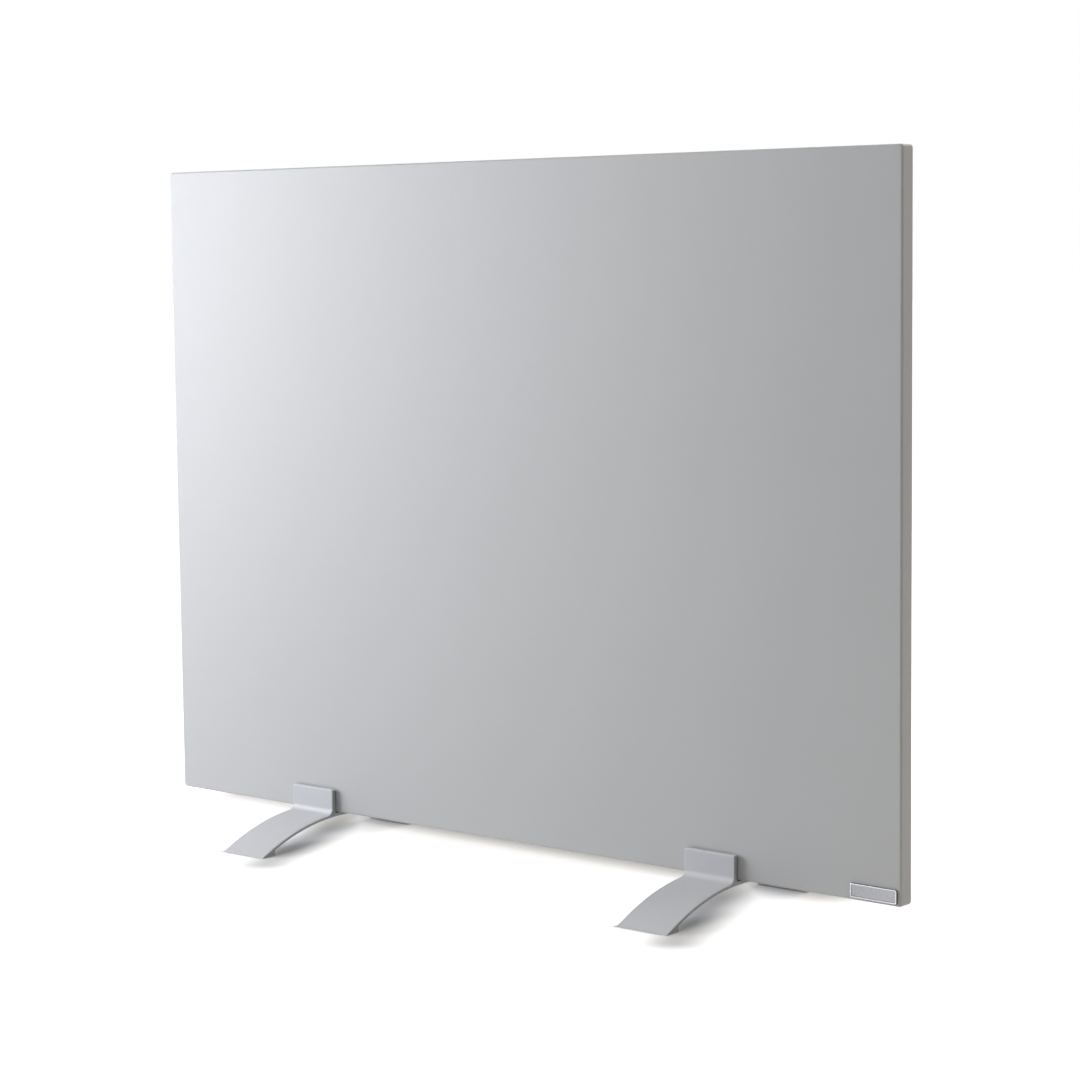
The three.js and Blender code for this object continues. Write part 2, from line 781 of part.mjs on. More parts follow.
function earthPieces() {
  const group = new THREE.Group();
  group.position.set(-earthShift, earthHeight, 0);
  const flangeRear = boxFace - studFlangeThickness;
  const stud = turned([
    [0, boxFace - studLength],
    [studRadius, boxFace - studLength],
    [studRadius, flangeRear],
    [studFlangeRadius, flangeRear],
    [studFlangeRadius, boxFace],
    [0, boxFace],
  ], smallRound);
  const bore = studRadius + fitGap;
  const ringFace = boxFloor - layerGap;
  const washerFace = ringFace - ringTerminalThickness - layerGap;
  const nutFace = washerFace - washerThickness - layerGap;
  const nutShape = polygonShape(6, nutAcrossFlats / Math.sqrt(3));
  nutShape.holes.push(circleHole(0, 0, bore));
  const eye = rod(ringTerminalRadius, ringFace, ringTerminalThickness, round);
  const barrelStart = ringTerminalRadius + ringNeckLength;
  const neckEnd = barrelStart + ringNeckOverlap;
  const neck = plate(rectangle(ringNeckWidth, neckEnd, 0, 0, neckEnd / 2), ringTerminalThickness, ringFace);
  const barrel = rod(ringBarrelRadius, ringBarrelLength, ringBarrelLength)
    .rotateX(-quarterTurn)
    .translate(0, barrelStart, ringFace - ringBarrelRadius);
  const eyeHole = holeTool(bore, ringFace, ringTerminalThickness);
  group.add(
    piece('earth_stud', stud, 'brass'),
    piece('earth_ring', cut(join(eye, neck, barrel), eyeHole), 'brass'),
    piece('earth_washer', ring(washerRadius, bore, washerFace, washerThickness, smallRound), 'steel'),
    piece('earth_nut', plate(nutShape, nutHeight, nutFace, fineArc), 'brass'),
  );
  return group;
}

function leads() {
  const group = new THREE.Group();
  group.add(
    lead('live_lead', liveLeadPoints(), 'brownLead'),
    lead('cutout_lead', cutoutLeadPoints(), 'redLead'),
    lead('neutral_lead', neutralLeadPoints(), 'blueLead'),
    lead('earth_lead', earthLeadPoints(), 'greenLead'),
  );
  return group;
}

// From the rivet terminal, round the window's left side, to the outer end of the cut-out.
function liveLeadPoints() {
  const end = -cutoutShift - cutoutLength / 2 - fitGap;
  return [
    [-terminalOffset, terminalHeight, leadOverRivet],
    [-terminalOffset - 7, terminalHeight + 2, leadOverRivet],
    [end + 8, terminalHeight - 1, leadOverFoil],
    [end - 3.5, terminalHeight - 8, leadOverFoil],
    [end - 5, cutoutHeight + 4, cutoutMiddle],
    [end - 3.5, cutoutHeight + 0.4, cutoutMiddle],
    [end, cutoutHeight, cutoutMiddle],
  ];
}

// From the inner end of the cut-out, through the grommet, to the middle pole.
function cutoutLeadPoints() {
  const start = -cutoutShift + cutoutLength / 2 + fitGap;
  return [
    [start, cutoutHeight, cutoutMiddle],
    [start + 7.5, cutoutHeight - 0.5, leadOverFoil],
    [-leadSpacing - 2, grommetHeight + 7, leadOverFoil - 1],
    [-leadSpacing / 2, grommetHeight + 1.5, leadOverFoil - 3],
    ...pastGrommet(-1, 0),
  ];
}

// From the rivet terminal, through the grommet, to the right pole.
function neutralLeadPoints() {
  return [
    [terminalOffset, terminalHeight, leadOverRivet],
    [terminalOffset + 2, terminalHeight - 5, leadOverRivet],
    [terminalOffset - 2, grommetHeight + 15, leadOverFoil - 0.5],
    [leadSpacing / 2 + 1.5, grommetHeight + 6, leadOverFoil - 1.5],
    [leadSpacing / 2, grommetHeight + 1.5, leadOverFoil - 3.5],
    ...pastGrommet(1, polePitch),
  ];
}

// The stretch of a lead through the grommet and up into its pole of the terminal block.
function pastGrommet(side, poleX) {
  const x = side * leadSpacing / 2;
  const behindRim = boxFloor - grommetRimThickness - leadRadius;
  return [
    [x, grommetHeight, grommetFront],
    [x, grommetHeight, rearFace],
    [x, grommetHeight, behindRim],
    [x, grommetHeight + 4, behindRim - 2 * leadRadius],
    [poleX, poleEntry - 8, poleDepth],
    [poleX, poleEntry, poleDepth],
  ];
}

// From the crimped ring on the earth stud to the left pole.
function earthLeadPoints() {
  const barrelEnd = earthHeight + ringTerminalRadius + ringNeckLength + ringBarrelLength + fitGap;
  const depth = boxFloor - layerGap - ringBarrelRadius;
  return [
    [-earthShift, barrelEnd, depth],
    [-earthShift, barrelEnd + 4, depth],
    [-(earthShift + polePitch) / 2, poleEntry - 8.5, (depth + poleDepth) / 2],
    [-polePitch - 1, poleEntry - 6.5, poleDepth],
    [-polePitch, poleEntry - 3, poleDepth],
    [-polePitch, poleEntry, poleDepth],
  ];
}

// ---------------------------------------------------------------- cord gland

// The gland's pieces are turned about z and then hang down from the box's lower wall.
// Two flats of each hexagon face the wall behind it and the lid.
function hexCollar(face, length, bore = 0) {
  const shape = polygonShape(6, glandAcrossFlats / Math.sqrt(3));
  if (bore) shape.holes.push(circleHole(0, 0, bore));
  return plate(shape, length, face, fineArc).rotateZ(quarterTurn / 3);
}

function cordGland() {
  const group = new THREE.Group();
  group.position.set(glandShift, boxBottom, boxMidDepth);
  group.rotation.x = -quarterTurn;
  const threadTop = boxWall + glandThreadInside;
  const flangeBottom = -layerGap - glandFlangeThickness;
  const threadBottom = flangeBottom - glandThreadBelow;
  const threadLength = threadTop - threadBottom;
  const flange = hexCollar(-layerGap, glandFlangeThickness);
  const thread = rod(glandThreadRadius, threadTop, threadLength, round);
  const body = cut(join(flange, thread), holeTool(glandBore, threadTop, threadLength));
  const locknutFace = boxWall + layerGap + locknutThickness;
  const sealFace = threadBottom - layerGap;
  const nutFace = flangeBottom - layerGap;
  const nutBottom = nutFace - glandNutLength;
  const nutInner = glandThreadRadius + fitGap;
  const nutOuter = nutInner + glandNutWall;
  const shoulder = sealFace - sealLength - layerGap;
  const domeSteps = 4;
  const dome = Array.from({ length: domeSteps + 1 }, (_, k) => {
    const angle = (k / domeSteps) * quarterTurn;
    const radius = glandNutMouth + (nutOuter - glandNutMouth) * Math.sin(angle);
    return [radius, nutBottom + glandNutDome * (1 - Math.cos(angle))];
  });
  const nut = turned([
    [nutInner, shoulder],
    [glandNutBore, shoulder],
    [glandNutBore, nutBottom],
    ...dome,
    [nutOuter, nutFace],
    [nutInner, nutFace],
    [nutInner, shoulder],
  ]);
  const locknut = hexCollar(locknutFace, locknutThickness, glandThreadRadius + fitGap);
  const seal = ring(glandThreadRadius - sealInset, glandBore, sealFace, sealLength);
  group.add(
    piece('gland_body', body, 'housing'),
    piece('gland_locknut', locknut, 'housing'),
    piece('gland_seal', seal, 'blackRubber'),
    piece('gland_nut', nut, 'housing'),
  );
  return group;
}

// ---------------------------------------------------------------- feet

// Height of a circle about the arch's centre, at a distance z from the foot's middle.
function arcHeight(radius, z) {
  return archCentre + Math.sqrt(radius * radius - z * z);
}

// Side view of a foot: x is the distance in front of the panel's middle plane, y is the height.
function footProfile() {
  const tip = footLength / 2;
  const land = tip - footLandLength;
  const under = archRadius - footThickness;
  const filletX = flangeOuter + flangeFilletRadius;
  const edgeX = flangeOuter - flangeEdgeRadius;
  const edgeY = flangeTop - flangeEdgeRadius;
  const filletY = archCentre + Math.sqrt((archRadius + flangeFilletRadius) ** 2 - filletX * filletX);
  const touchAngle = Math.atan2(archCentre - filletY, -filletX);
  const archAngle = (radius, x) => Math.acos(x / radius);
  const shape = new THREE.Shape();
  shape.moveTo(tip, 0);
  shape.lineTo(tip, footTipHeight);
  shape.absarc(0, archCentre, archRadius, archAngle(archRadius, tip), touchAngle + Math.PI, false);
  shape.absarc(filletX, filletY, flangeFilletRadius, touchAngle, -Math.PI, true);
  shape.lineTo(flangeOuter, edgeY);
  shape.absarc(edgeX, edgeY, flangeEdgeRadius, 0, quarterTurn, false);
  shape.lineTo(channelHalf, flangeTop);
  shape.lineTo(channelHalf, linerFloor);
  shape.lineTo(-channelHalf, linerFloor);
  shape.lineTo(-channelHalf, flangeTop);
  shape.lineTo(-edgeX, flangeTop);
  shape.absarc(-edgeX, edgeY, flangeEdgeRadius, quarterTurn, 2 * quarterTurn, false);
  shape.lineTo(-flangeOuter, filletY);
  shape.absarc(-filletX, filletY, flangeFilletRadius, 0, Math.PI - touchAngle, true);
  shape.absarc(0, archCentre, archRadius, -touchAngle, Math.PI - archAngle(archRadius, tip), false);
  shape.lineTo(-tip, 0);
  shape.lineTo(-land, 0);
  shape.lineTo(-land, arcHeight(under, land));
  shape.absarc(0, archCentre, under, Math.PI - archAngle(under, land), archAngle(under, land), true);
  shape.lineTo(land, 0);
  return shape;
}

// A side view drawn with x to the front, drawn out along the panel by the given width.
function alongPanel(shape, width, curveSegments) {
  const geometry = plate(shape, width, width, curveSegments);
  geometry.rotateY(-quarterTurn);
  geometry.translate(width / 2, 0, 0);
  return geometry;
}

function clampScrewShifts() {
  return [-clampScrewSpacing / 2, clampScrewSpacing / 2];
}

function footGeometry() {
  const blank = alongPanel(footProfile(), footWidth, fineArc);
  const height = panelBottom + clampScrewHeight;
  const holes = clampScrewShifts().map((x) => (
    holeTool(clampScrewRadius + fitGap, -channelHalf, flangeThickness).translate(x, height, 0)));
  return cut(blank, ...holes);
}

function linerGeometry() {
  const inner = channelHalf - linerThickness;
  const outer = channelHalf - layerGap;
  const top = flangeTop - linerDrop;
  const base = linerFloor + layerGap;
  const shape = new THREE.Shape([
    [outer, base], [outer, top], [inner, top], [inner, panelBottom - layerGap],
    [-inner, panelBottom - layerGap], [-inner, top], [-outer, top], [-outer, base],
  ].map(([x, y]) => new THREE.Vector2(x, y)));
  return alongPanel(shape, footWidth - 2 * linerInset);
}

function clampScrewGeometry() {
  const inner = -channelHalf + layerGap / 2;
  const length = flangeThickness + clampScrewProud;
  const rear = inner - length;
  const body = turned([
    [0, rear],
    [clampScrewRadius - clampScrewChamfer, rear],
    [clampScrewRadius, rear + clampScrewChamfer],
    [clampScrewRadius, inner - clampScrewChamfer],
    [clampScrewRadius - clampScrewChamfer, inner],
    [0, inner],
  ], smallRound);
  const socket = plate(polygonShape(6, clampScrewHex / Math.sqrt(3)), 2 * clampScrewHexDepth,
    rear + clampScrewHexDepth);
  return cut(body, socket);
}

function foot(side, name) {
  const group = new THREE.Group();
  group.position.x = side * footSpacing / 2;
  group.add(
    piece(`${name}_foot`, footGeometry(), 'aluminium'),
    piece(`${name}_foot_liner`, linerGeometry(), 'rubber'),
  );
  clampScrewShifts().forEach((x, k) => {
    const mesh = piece(`${name}_foot_screw_${k + 1}`, clampScrewGeometry(), 'blackSteel');
    mesh.position.set(x, panelBottom + clampScrewHeight, 0);
    group.add(mesh);
  });
  return group;
}

// A folded channel inside the tray that takes the clamping force of one foot.
function clampSpacer(side, name) {
  const front = sheetInside - layerGap;
  const rear = lipInside + layerGap;
  const shape = new THREE.Shape([
    [front, spacerBottom], [front, spacerTop], [rear, spacerTop], [rear, spacerTop - spacerSheet],
    [front - spacerSheet, spacerTop - spacerSheet], [front - spacerSheet, spacerBottom + spacerSheet],
    [rear, spacerBottom + spacerSheet], [rear, spacerBottom],
  ].map(([x, y]) => new THREE.Vector2(x, y)));
  const mesh = piece(`${name}_clamp_spacer`, alongPanel(shape, footWidth), 'galvanised');
  mesh.position.x = side * footSpacing / 2;
  return mesh;
}

// ---------------------------------------------------------------- assembly

function panelShell() {
  const group = new THREE.Group();
  group.add(frontPanel(), rearCover(), nameplate());
  group.add(clampSpacer(-1, 'left'), clampSpacer(1, 'right'));
  coverScrewPlaces().forEach(([x, y], k) => {
    group.add(screw(`cover_screw_${k + 1}`, x, y, rearFace - layerGap, coverScrewLength));
  });
  return group;
}

function connectionBox() {
  const group = new THREE.Group();
  group.add(boxBase(), boxGasket(), boxLid(), cordGland());
  group.add(terminalBlock(), grommet(), earthPieces(), leads());
  boxScrewPlaces(baseScrewInset).forEach(([x, y], k) => {
    group.add(screw(`box_screw_${k + 1}`, x, y, boxFloor - layerGap, baseScrewLength));
  });
  boxScrewPlaces(boxBossInset).forEach(([x, y], k) => {
    group.add(screw(`lid_screw_${k + 1}`, x, y, lidRear - layerGap, lidScrewLength));
  });
  [-1, 0, 1].forEach((k) => group.add(poleScrew(`pole_screw_${k + 2}`, k * polePitch)));
  return group;
}

const heater = new THREE.Group();
heater.add(panelShell(), heatingLayers(), connectionBox(), foot(-1, 'left'), foot(1, 'right'));
heater.rotation.x = quarterTurn;

export default heater;
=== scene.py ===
# Fine shapes, finishes, floor, lights and camera for a free-standing infrared panel heater.
# Metres, +Z up. The heater's face looks towards -Y, and the floor is at Z = 0.

import json
import math

import bmesh
import bpy
from mathutils import Matrix, Vector


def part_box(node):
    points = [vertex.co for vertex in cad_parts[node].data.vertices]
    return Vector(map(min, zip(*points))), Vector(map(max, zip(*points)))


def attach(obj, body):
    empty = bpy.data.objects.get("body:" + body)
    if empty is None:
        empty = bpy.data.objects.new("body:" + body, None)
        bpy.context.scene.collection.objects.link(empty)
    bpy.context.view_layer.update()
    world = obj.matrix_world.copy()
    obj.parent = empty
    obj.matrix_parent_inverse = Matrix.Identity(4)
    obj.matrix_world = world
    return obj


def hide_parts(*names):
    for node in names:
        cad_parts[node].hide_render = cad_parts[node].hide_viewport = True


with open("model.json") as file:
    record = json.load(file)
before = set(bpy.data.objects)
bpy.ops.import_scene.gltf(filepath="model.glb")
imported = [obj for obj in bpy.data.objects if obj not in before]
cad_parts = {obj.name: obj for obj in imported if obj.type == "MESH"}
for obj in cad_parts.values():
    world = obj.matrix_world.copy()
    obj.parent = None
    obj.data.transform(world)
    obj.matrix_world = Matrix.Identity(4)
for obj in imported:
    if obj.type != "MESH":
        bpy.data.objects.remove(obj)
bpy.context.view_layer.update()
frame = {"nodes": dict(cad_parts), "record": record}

MM = 0.001
QUARTER = math.pi / 2
FULL_TURN = 4 * QUARTER
SIXTH = FULL_TURN / 6

# ---------------------------------------------------------------- sizes of the fine shapes

# Panel shell
SHEET = 1.2 * MM
BEND = 1.6 * MM                # outside radius of the folded edges
BEND_STEPS = 10
FACE_RIM = 4 * SHEET           # a flat ring of the face next to the bends keeps the shading even
CORNER = 2.4 * MM              # the tray's corners, seen from the front
LIP = 12 * MM                  # folded back all round the rear
LIP_CORNER = 2 * MM
COVER_EDGE = 0.2 * MM
COVER_HOLE_GAP = 0.3 * MM      # left round each screw
GROMMET_HOLE = 5.3 * MM        # radius
SHEET_WELD = 0.002 * MM        # points closer than this become one

# Feet, side view
ARCH_TOP = 22.5 * MM
ARCH_THICKNESS = 2.5 * MM
TIP_HEIGHT = 0.4 * MM
LAND = 13.5 * MM               # the flat at each tip that rests on the floor
CHANNEL_HALF = 8.15 * MM
CHANNEL_FLOOR = 22.5 * MM
FLANGE_OUTER = 11.95 * MM
FLANGE_EDGE = 1 * MM
FLANGE_FILLET = 5 * MM
CUT_EDGE = 0.6 * MM            # rounding of the sawn ends
CUT_EDGE_STEPS = 5
TIP_FADE = 7 * MM              # the rounding dies away over this length towards the tips
TIP_ROUNDING = 0.15            # the share of it that is left at the tips
COUNTERSINK = 0.4 * MM         # of the clamp screws' holes
ARCH_UNDER_STEPS = 24
ARCH_TOP_STEPS = 36
FILLET_STEPS = 12
FLANGE_EDGE_STEPS = 6
CUT_PAST = 0.2 * MM            # the countersink's cone runs on this far outside the flange
HOLE_PAST = 1 * MM             # and the drill passes this far beyond both of its faces

# Nameplate
PLATE_CORNER = 1.2 * MM
PLATE_BORDER = 1.1 * MM
PLATE_POCKET = 0.5 * MM
PLATE_SLOPE = 0.15 * MM        # the pocket's walls lean outwards by this much
PLATE_EDGE = 0.35 * MM
PLATE_EDGE_STEPS = 5

# Screws
SCREW_RADIUS = 1.45 * MM
SCREW_POINT = 0.5 * MM         # radius of the blunt point
PAN_HEIGHT = 1.7 * MM
PAN_RIM = 0.55 * MM            # the straight part of the head's side
PAN_SHOULDER = 1.1 * MM        # the dome draws in by this much
PAN_DOME = 0.8 * QUARTER
PAN_DOME_STEPS = 8
CROSS_LENGTH = 3.2 * MM
CROSS_WIDTH = 0.75 * MM
CROSS_DEPTH = 1.0 * MM
CROSS_TAPER = 0.55             # size of the recess's floor against its mouth
CROSS_EDGE_STEPS = 5
HEX_WIDTH = 2.5 * MM           # across the flats of the set screws' sockets
HEX_DEPTH = 2.4 * MM
HEX_TAPER = 0.97
HEX_EDGE_STEPS = 6
SET_SCREW_CHAMFER = 0.3 * MM
SET_SCREW_PITCH = 0.8 * MM
SET_SCREW_GAP = 0.3 * MM
THREAD_DEPTH = 0.35 * MM
THREAD_CREST = (0.15 * MM, 0.1 * MM)     # flat part of the crest before and after a groove

# Gland nut
GLAND_BORE = 4.2 * MM
GLAND_MOUTH = 5.8 * MM
GLAND_INSIDE = 8.3 * MM
GLAND_RIBS = 18
GLAND_RIB_DEPTH = 0.5 * MM
GLAND_RIB_STEPS = 8
GLAND_RIB_POWER = 3            # a higher power gives narrower grooves between the ribs
GLAND_RIBS_START = (0.6 * MM, 1.4 * MM)  # above the dome: where they begin and are at full depth
GLAND_RIBS_END = (1.2 * MM, 0.5 * MM)    # below the top edge: where they fade and are gone
GLAND_DOME = 5.6 * MM
GLAND_DOME_STEPS = 10
GLAND_CHAMFER = 0.3 * MM
GLAND_SEAL_GAP = 0.1 * MM

# Softened edges of plain solids
SOFT_SEGMENTS = 3
SOFT_FROM = math.radians(50)   # edges sharper than this are rounded
FLAT_WITHIN = math.radians(1)  # faces that meet more flatly than this become one
SOLID_WELD = 0.005 * MM


# ---------------------------------------------------------------- mesh helpers

def piece_from(name, bm, sharp=35):
    """A shown object from a finished mesh, smooth where neighbouring faces meet at a low angle."""
    bmesh.ops.recalc_face_normals(bm, faces=bm.faces)
    mesh = bpy.data.meshes.new(name)
    bm.to_mesh(mesh)
    bm.free()
    mesh.polygons.foreach_set("use_smooth", [True] * len(mesh.polygons))
    mesh.set_sharp_from_angle(angle=math.radians(sharp))
    obj = bpy.data.objects.new(name, mesh)
    bpy.context.scene.collection.objects.link(obj)
    shading = obj.modifiers.new("even_shading", "WEIGHTED_NORMAL")
    shading.keep_sharp = True
    return obj


def loft(rings, closed=False):
    """A skin over rings of equal point counts. It is capped at both ends, or closed on itself."""
    bm = bmesh.new()
    rows = [[bm.verts.new(point) for point in ring] for ring in rings]
    pairs = list(zip(rows, rows[1:]))
    if closed:
        pairs.append((rows[-1], rows[0]))
    for lower, upper in pairs:
        for k, corner in enumerate(lower):
            after = (k + 1) % len(lower)
            bm.faces.new((corner, lower[after], upper[after], upper[k]))
    if not closed:
        bm.faces.new(rows[0])
        bm.faces.new(rows[-1][::-1])
    return bm


def arc(centre_x, centre_y, radius, start, end, steps):
    """Points on a circle from one angle to another."""
    angles = [start + (end - start) * k / steps for k in range(steps + 1)]
    return [(centre_x + radius * math.cos(a), centre_y + radius * math.sin(a)) for a in angles]


def round_rectangle(width, height, radius, steps=8):
    """Outline of a rectangle with round corners, about the origin."""
    x = width / 2 - radius
    y = height / 2 - radius
    centres = [(x, y), (-x, y), (-x, -y), (x, -y)]
    points = []
    for corner, (cx, cy) in enumerate(centres):
        points += arc(cx, cy, radius, corner * QUARTER, (corner + 1) * QUARTER, steps)
    return points


def middle_of(node):
    low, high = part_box(node)
    return (low + high) / 2


def stand_for(obj, node, body, material):
    """Hands the place of a solid over to its fine piece."""
    obj.data.materials.clear()
    obj.data.materials.append(material)
    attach(obj, body)
    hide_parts(node)
    return obj


def fine(node):
    return f"fine_{node}"


# ---------------------------------------------------------------- panel shell

def rings_in_box(low, high, steps):
    """Round rectangles about a box's middle, one for each (inset, y, corner radius)."""
    centre = (low + high) / 2
    width, _, height = high - low
    rings = []
    for inset, y, radius in steps:
        outline = round_rectangle(width - 2 * inset, height - 2 * inset, radius)
        rings.append([(centre.x + x, y, centre.z + z) for x, z in outline])
    return rings


def make_tray():
    """The folded tray: face, bends, side walls and rear lips, with the sheet's real thickness."""
    low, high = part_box("front_panel")
    inner_bend = BEND - SHEET
    fold = arc(0, 0, 1, 0, QUARTER, BEND_STEPS)
    outside = [(BEND + FACE_RIM, low.y, CORNER)]
    outside += [(BEND * (1 - s), low.y + BEND * (1 - c), CORNER) for c, s in fold]
    outside += [(BEND * (1 - c), high.y - BEND * (1 - s), CORNER) for c, s in fold]
    lip = [(LIP, high.y, LIP_CORNER), (LIP, high.y - SHEET, LIP_CORNER)]
    inside = [(SHEET + inner_bend * (1 - c), high.y - SHEET - inner_bend * (1 - s)) for c, s in fold]
    inside = [(inset, y, CORNER - SHEET) for inset, y in inside[::-1]]
    inside += [(SHEET, low.y + BEND, CORNER - SHEET), (BEND, low.y + SHEET, CORNER - SHEET)]
    return piece_from(fine("front_panel"), loft(rings_in_box(low, high, outside + lip + inside)))


def flat_sheet(name, outlines, front, rear, edge):
    """A flat sheet with holes and rounded edges. Outlines are (x, z) points, the outer one first."""
    curve = bpy.data.curves.new(name, "CURVE")
    curve.dimensions = "2D"
    curve.fill_mode = "BOTH"
    curve.extrude = (rear - front) / 2 - edge
    curve.bevel_depth = edge
    curve.bevel_resolution = 2
    curve.offset = -edge
    for outline in outlines:
        spline = curve.splines.new("POLY")
        spline.points.add(len(outline) - 1)
        for point, (x, z) in zip(spline.points, outline):
            point.co = (x, z, 0, 1)
        spline.use_cyclic_u = True
    shape = bpy.data.objects.new(name, curve)
    bm = bmesh.new()
    bm.from_mesh(shape.to_mesh())
    shape.to_mesh_clear()
    bpy.data.objects.remove(shape)
    bpy.data.curves.remove(curve)
    bmesh.ops.transform(bm, matrix=Matrix.Rotation(QUARTER, 4, "X"), verts=bm.verts)
    bmesh.ops.translate(bm, vec=(0, (front + rear) / 2, 0), verts=bm.verts)
    bmesh.ops.remove_doubles(bm, verts=bm.verts, dist=SHEET_WELD)
    return piece_from(name, bm)


def circle(x, z, radius, steps=32):
    return arc(x, z, radius, 0, FULL_TURN * (steps - 1) / steps, steps - 1)


def make_rear_cover():
    """The flat sheet that closes the tray, drilled for its screws and for the leads."""
    low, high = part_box("rear_cover")
    centre = (low + high) / 2
    outer = [(centre.x + x, centre.z + z)
             for x, z in round_rectangle(high.x - low.x, high.z - low.z, CORNER)]
    screws = [name for name in frame["nodes"] if name.startswith(("cover_screw_", "box_screw_"))]
    drilled = [(name, SCREW_RADIUS + COVER_HOLE_GAP) for name in screws]
    drilled.append(("lead_grommet", GROMMET_HOLE))
    holes = [circle(middle_of(name).x, middle_of(name).z, radius) for name, radius in drilled]
    return flat_sheet(fine("rear_cover"), [outer, *holes], low.y, high.y, COVER_EDGE)


def make_nameplate():
    """A bare plate: a raised, rounded border round a shallow pocket."""
    low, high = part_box("nameplate")
    quarter_round = arc(0, 0, 1, 0, QUARTER, PLATE_EDGE_STEPS)
    side = [(0, high.y, PLATE_CORNER)]
    outer_edge = [(PLATE_EDGE * (1 - c), low.y + PLATE_EDGE * (1 - s), PLATE_CORNER)
                  for c, s in quarter_round]
    pocket_wall = PLATE_BORDER - PLATE_EDGE
    inner_corner = PLATE_CORNER - pocket_wall
    inner_edge = [(pocket_wall + PLATE_EDGE * s, low.y + PLATE_EDGE * (1 - c), inner_corner)
                  for c, s in quarter_round]
    floor = [(PLATE_BORDER + PLATE_SLOPE, low.y + PLATE_POCKET, inner_corner)]
    rings = rings_in_box(low, high, side + outer_edge + inner_edge + floor)
    return piece_from(fine("nameplate"), loft(rings), sharp=50)


# ---------------------------------------------------------------- feet

def arch_radius(half_length):
    rise = ARCH_TOP - TIP_HEIGHT
    return (half_length ** 2 + rise ** 2) / (2 * rise)


def foot_half_outline(tip, flange_top):
    """Front half of a foot's side view, from the land's heel round the tip to the channel floor."""
    radius = arch_radius(tip)
    centre = ARCH_TOP - radius
    under = radius - ARCH_THICKNESS
    land = tip - LAND
    fillet_x = FLANGE_OUTER + FLANGE_FILLET
    fillet_z = centre + math.sqrt((radius + FLANGE_FILLET) ** 2 - fillet_x ** 2)
    touch = math.atan2(centre - fillet_z, -fillet_x)
    edge_x = FLANGE_OUTER - FLANGE_EDGE
    edge_z = flange_top - FLANGE_EDGE
    points = arc(0, centre, under, QUARTER, math.acos(land / under), ARCH_UNDER_STEPS)[1:]
    points += [(land, 0), (tip, 0)]
    points += arc(0, centre, radius, math.acos(tip / radius), touch + math.pi, ARCH_TOP_STEPS)
    points += arc(fillet_x, fillet_z, FLANGE_FILLET, touch, -math.pi, FILLET_STEPS)[1:]
    points += arc(edge_x, edge_z, FLANGE_EDGE, 0, QUARTER, FLANGE_EDGE_STEPS)
    points += [(CHANNEL_HALF, flange_top), (CHANNEL_HALF, CHANNEL_FLOOR)]
    return points


def inward(points):
    """For each point of an anticlockwise outline, the step inwards that moves both its edges by one."""
    steps = []
    for k, point in enumerate(points):
        before = Vector(points[k - 1])
        here = Vector(point)
        after = Vector(points[(k + 1) % len(points)])
        first = (here - before).normalized()
        second = (after - here).normalized()
        normals = Vector((-first.y, first.x)) + Vector((-second.y, second.x))
        steps.append(normals * 2 / normals.length_squared)
    return steps


def make_foot(side):
    """An arched extrusion, sawn to width, with its sawn ends rounded over."""
    node = f"{side}_foot"
    low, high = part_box(node)
    tip = high.y
    half = foot_half_outline(tip, high.z)
    points = half + [(-y, z) for y, z in half[::-1]]
    steps = inward(points)
    round_over = arc(0, 0, 1, 0, QUARTER, CUT_EDGE_STEPS)
    slices = [(1 - s, low.x + CUT_EDGE * (1 - c)) for c, s in round_over]
    slices += [(1 - s, high.x - CUT_EDGE * (1 - c)) for c, s in round_over[::-1]]
    rings = []
    for inset, x in slices:
        ring = []
        for (y, z), step in zip(points, steps):
            share = min(1, max(TIP_ROUNDING, (tip - abs(y)) / TIP_FADE))
            moved = step * inset * CUT_EDGE * share
            ring.append((x, y + moved.x, z + moved.y))
        rings.append(ring)
    foot = piece_from(fine(node), loft(rings))
    holes = [clamp_hole(f"{node}_screw_{k}") for k in (1, 2)]
    return cut_away(foot, holes)


def clamp_hole(node):
    """A drill through the rear flange, with a light countersink, where a set screw sits."""
    low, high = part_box(node)
    centre = (low + high) / 2
    radius = (high.x - low.x) / 2 + SET_SCREW_GAP
    mouth = radius + COUNTERSINK + CUT_PAST
    profile = [(radius, CHANNEL_HALF - HOLE_PAST), (radius, FLANGE_OUTER - COUNTERSINK),
               (mouth, FLANGE_OUTER + CUT_PAST), (mouth, FLANGE_OUTER + HOLE_PAST)]
    return loft([[(centre.x + x, y, centre.z + z) for x, z in circle(0, 0, r)] for r, y in profile])


def cut_away(obj, cutters):
    """Cuts closed meshes out of an object and keeps the result as its mesh."""
    for number, bm in enumerate(cutters):
        cutter = piece_from(f"cutter_{number}", bm)
        cut = obj.modifiers.new("cut", "BOOLEAN")
        cut.operation = "DIFFERENCE"
        cut.solver = "EXACT"
        cut.object = cutter
        bpy.context.view_layer.update()
        result = bpy.data.meshes.new_from_object(
            obj.evaluated_get(bpy.context.evaluated_depsgraph_get()))
        obj.modifiers.remove(cut)
        obj.data = result
        bpy.data.objects.remove(cutter)
    return obj


# ---------------------------------------------------------------- screws and gland

def cross_outline():
    """A plus-shaped recess, its edges divided so that it can be joined to a circle."""
    long = CROSS_LENGTH / 2
    half = CROSS_WIDTH / 2
    arm = [(long, -half), (long, half), (half, half)]
    corners = []
    for turn in range(4):
        spin = Matrix.Rotation(turn * QUARTER, 2)
        corners += [spin @ Vector(corner) for corner in arm]
    points = []
    for k, corner in enumerate(corners):
        after = corners[(k + 1) % len(corners)]
        points += [corner.lerp(after, step / CROSS_EDGE_STEPS) for step in range(CROSS_EDGE_STEPS)]
    return points


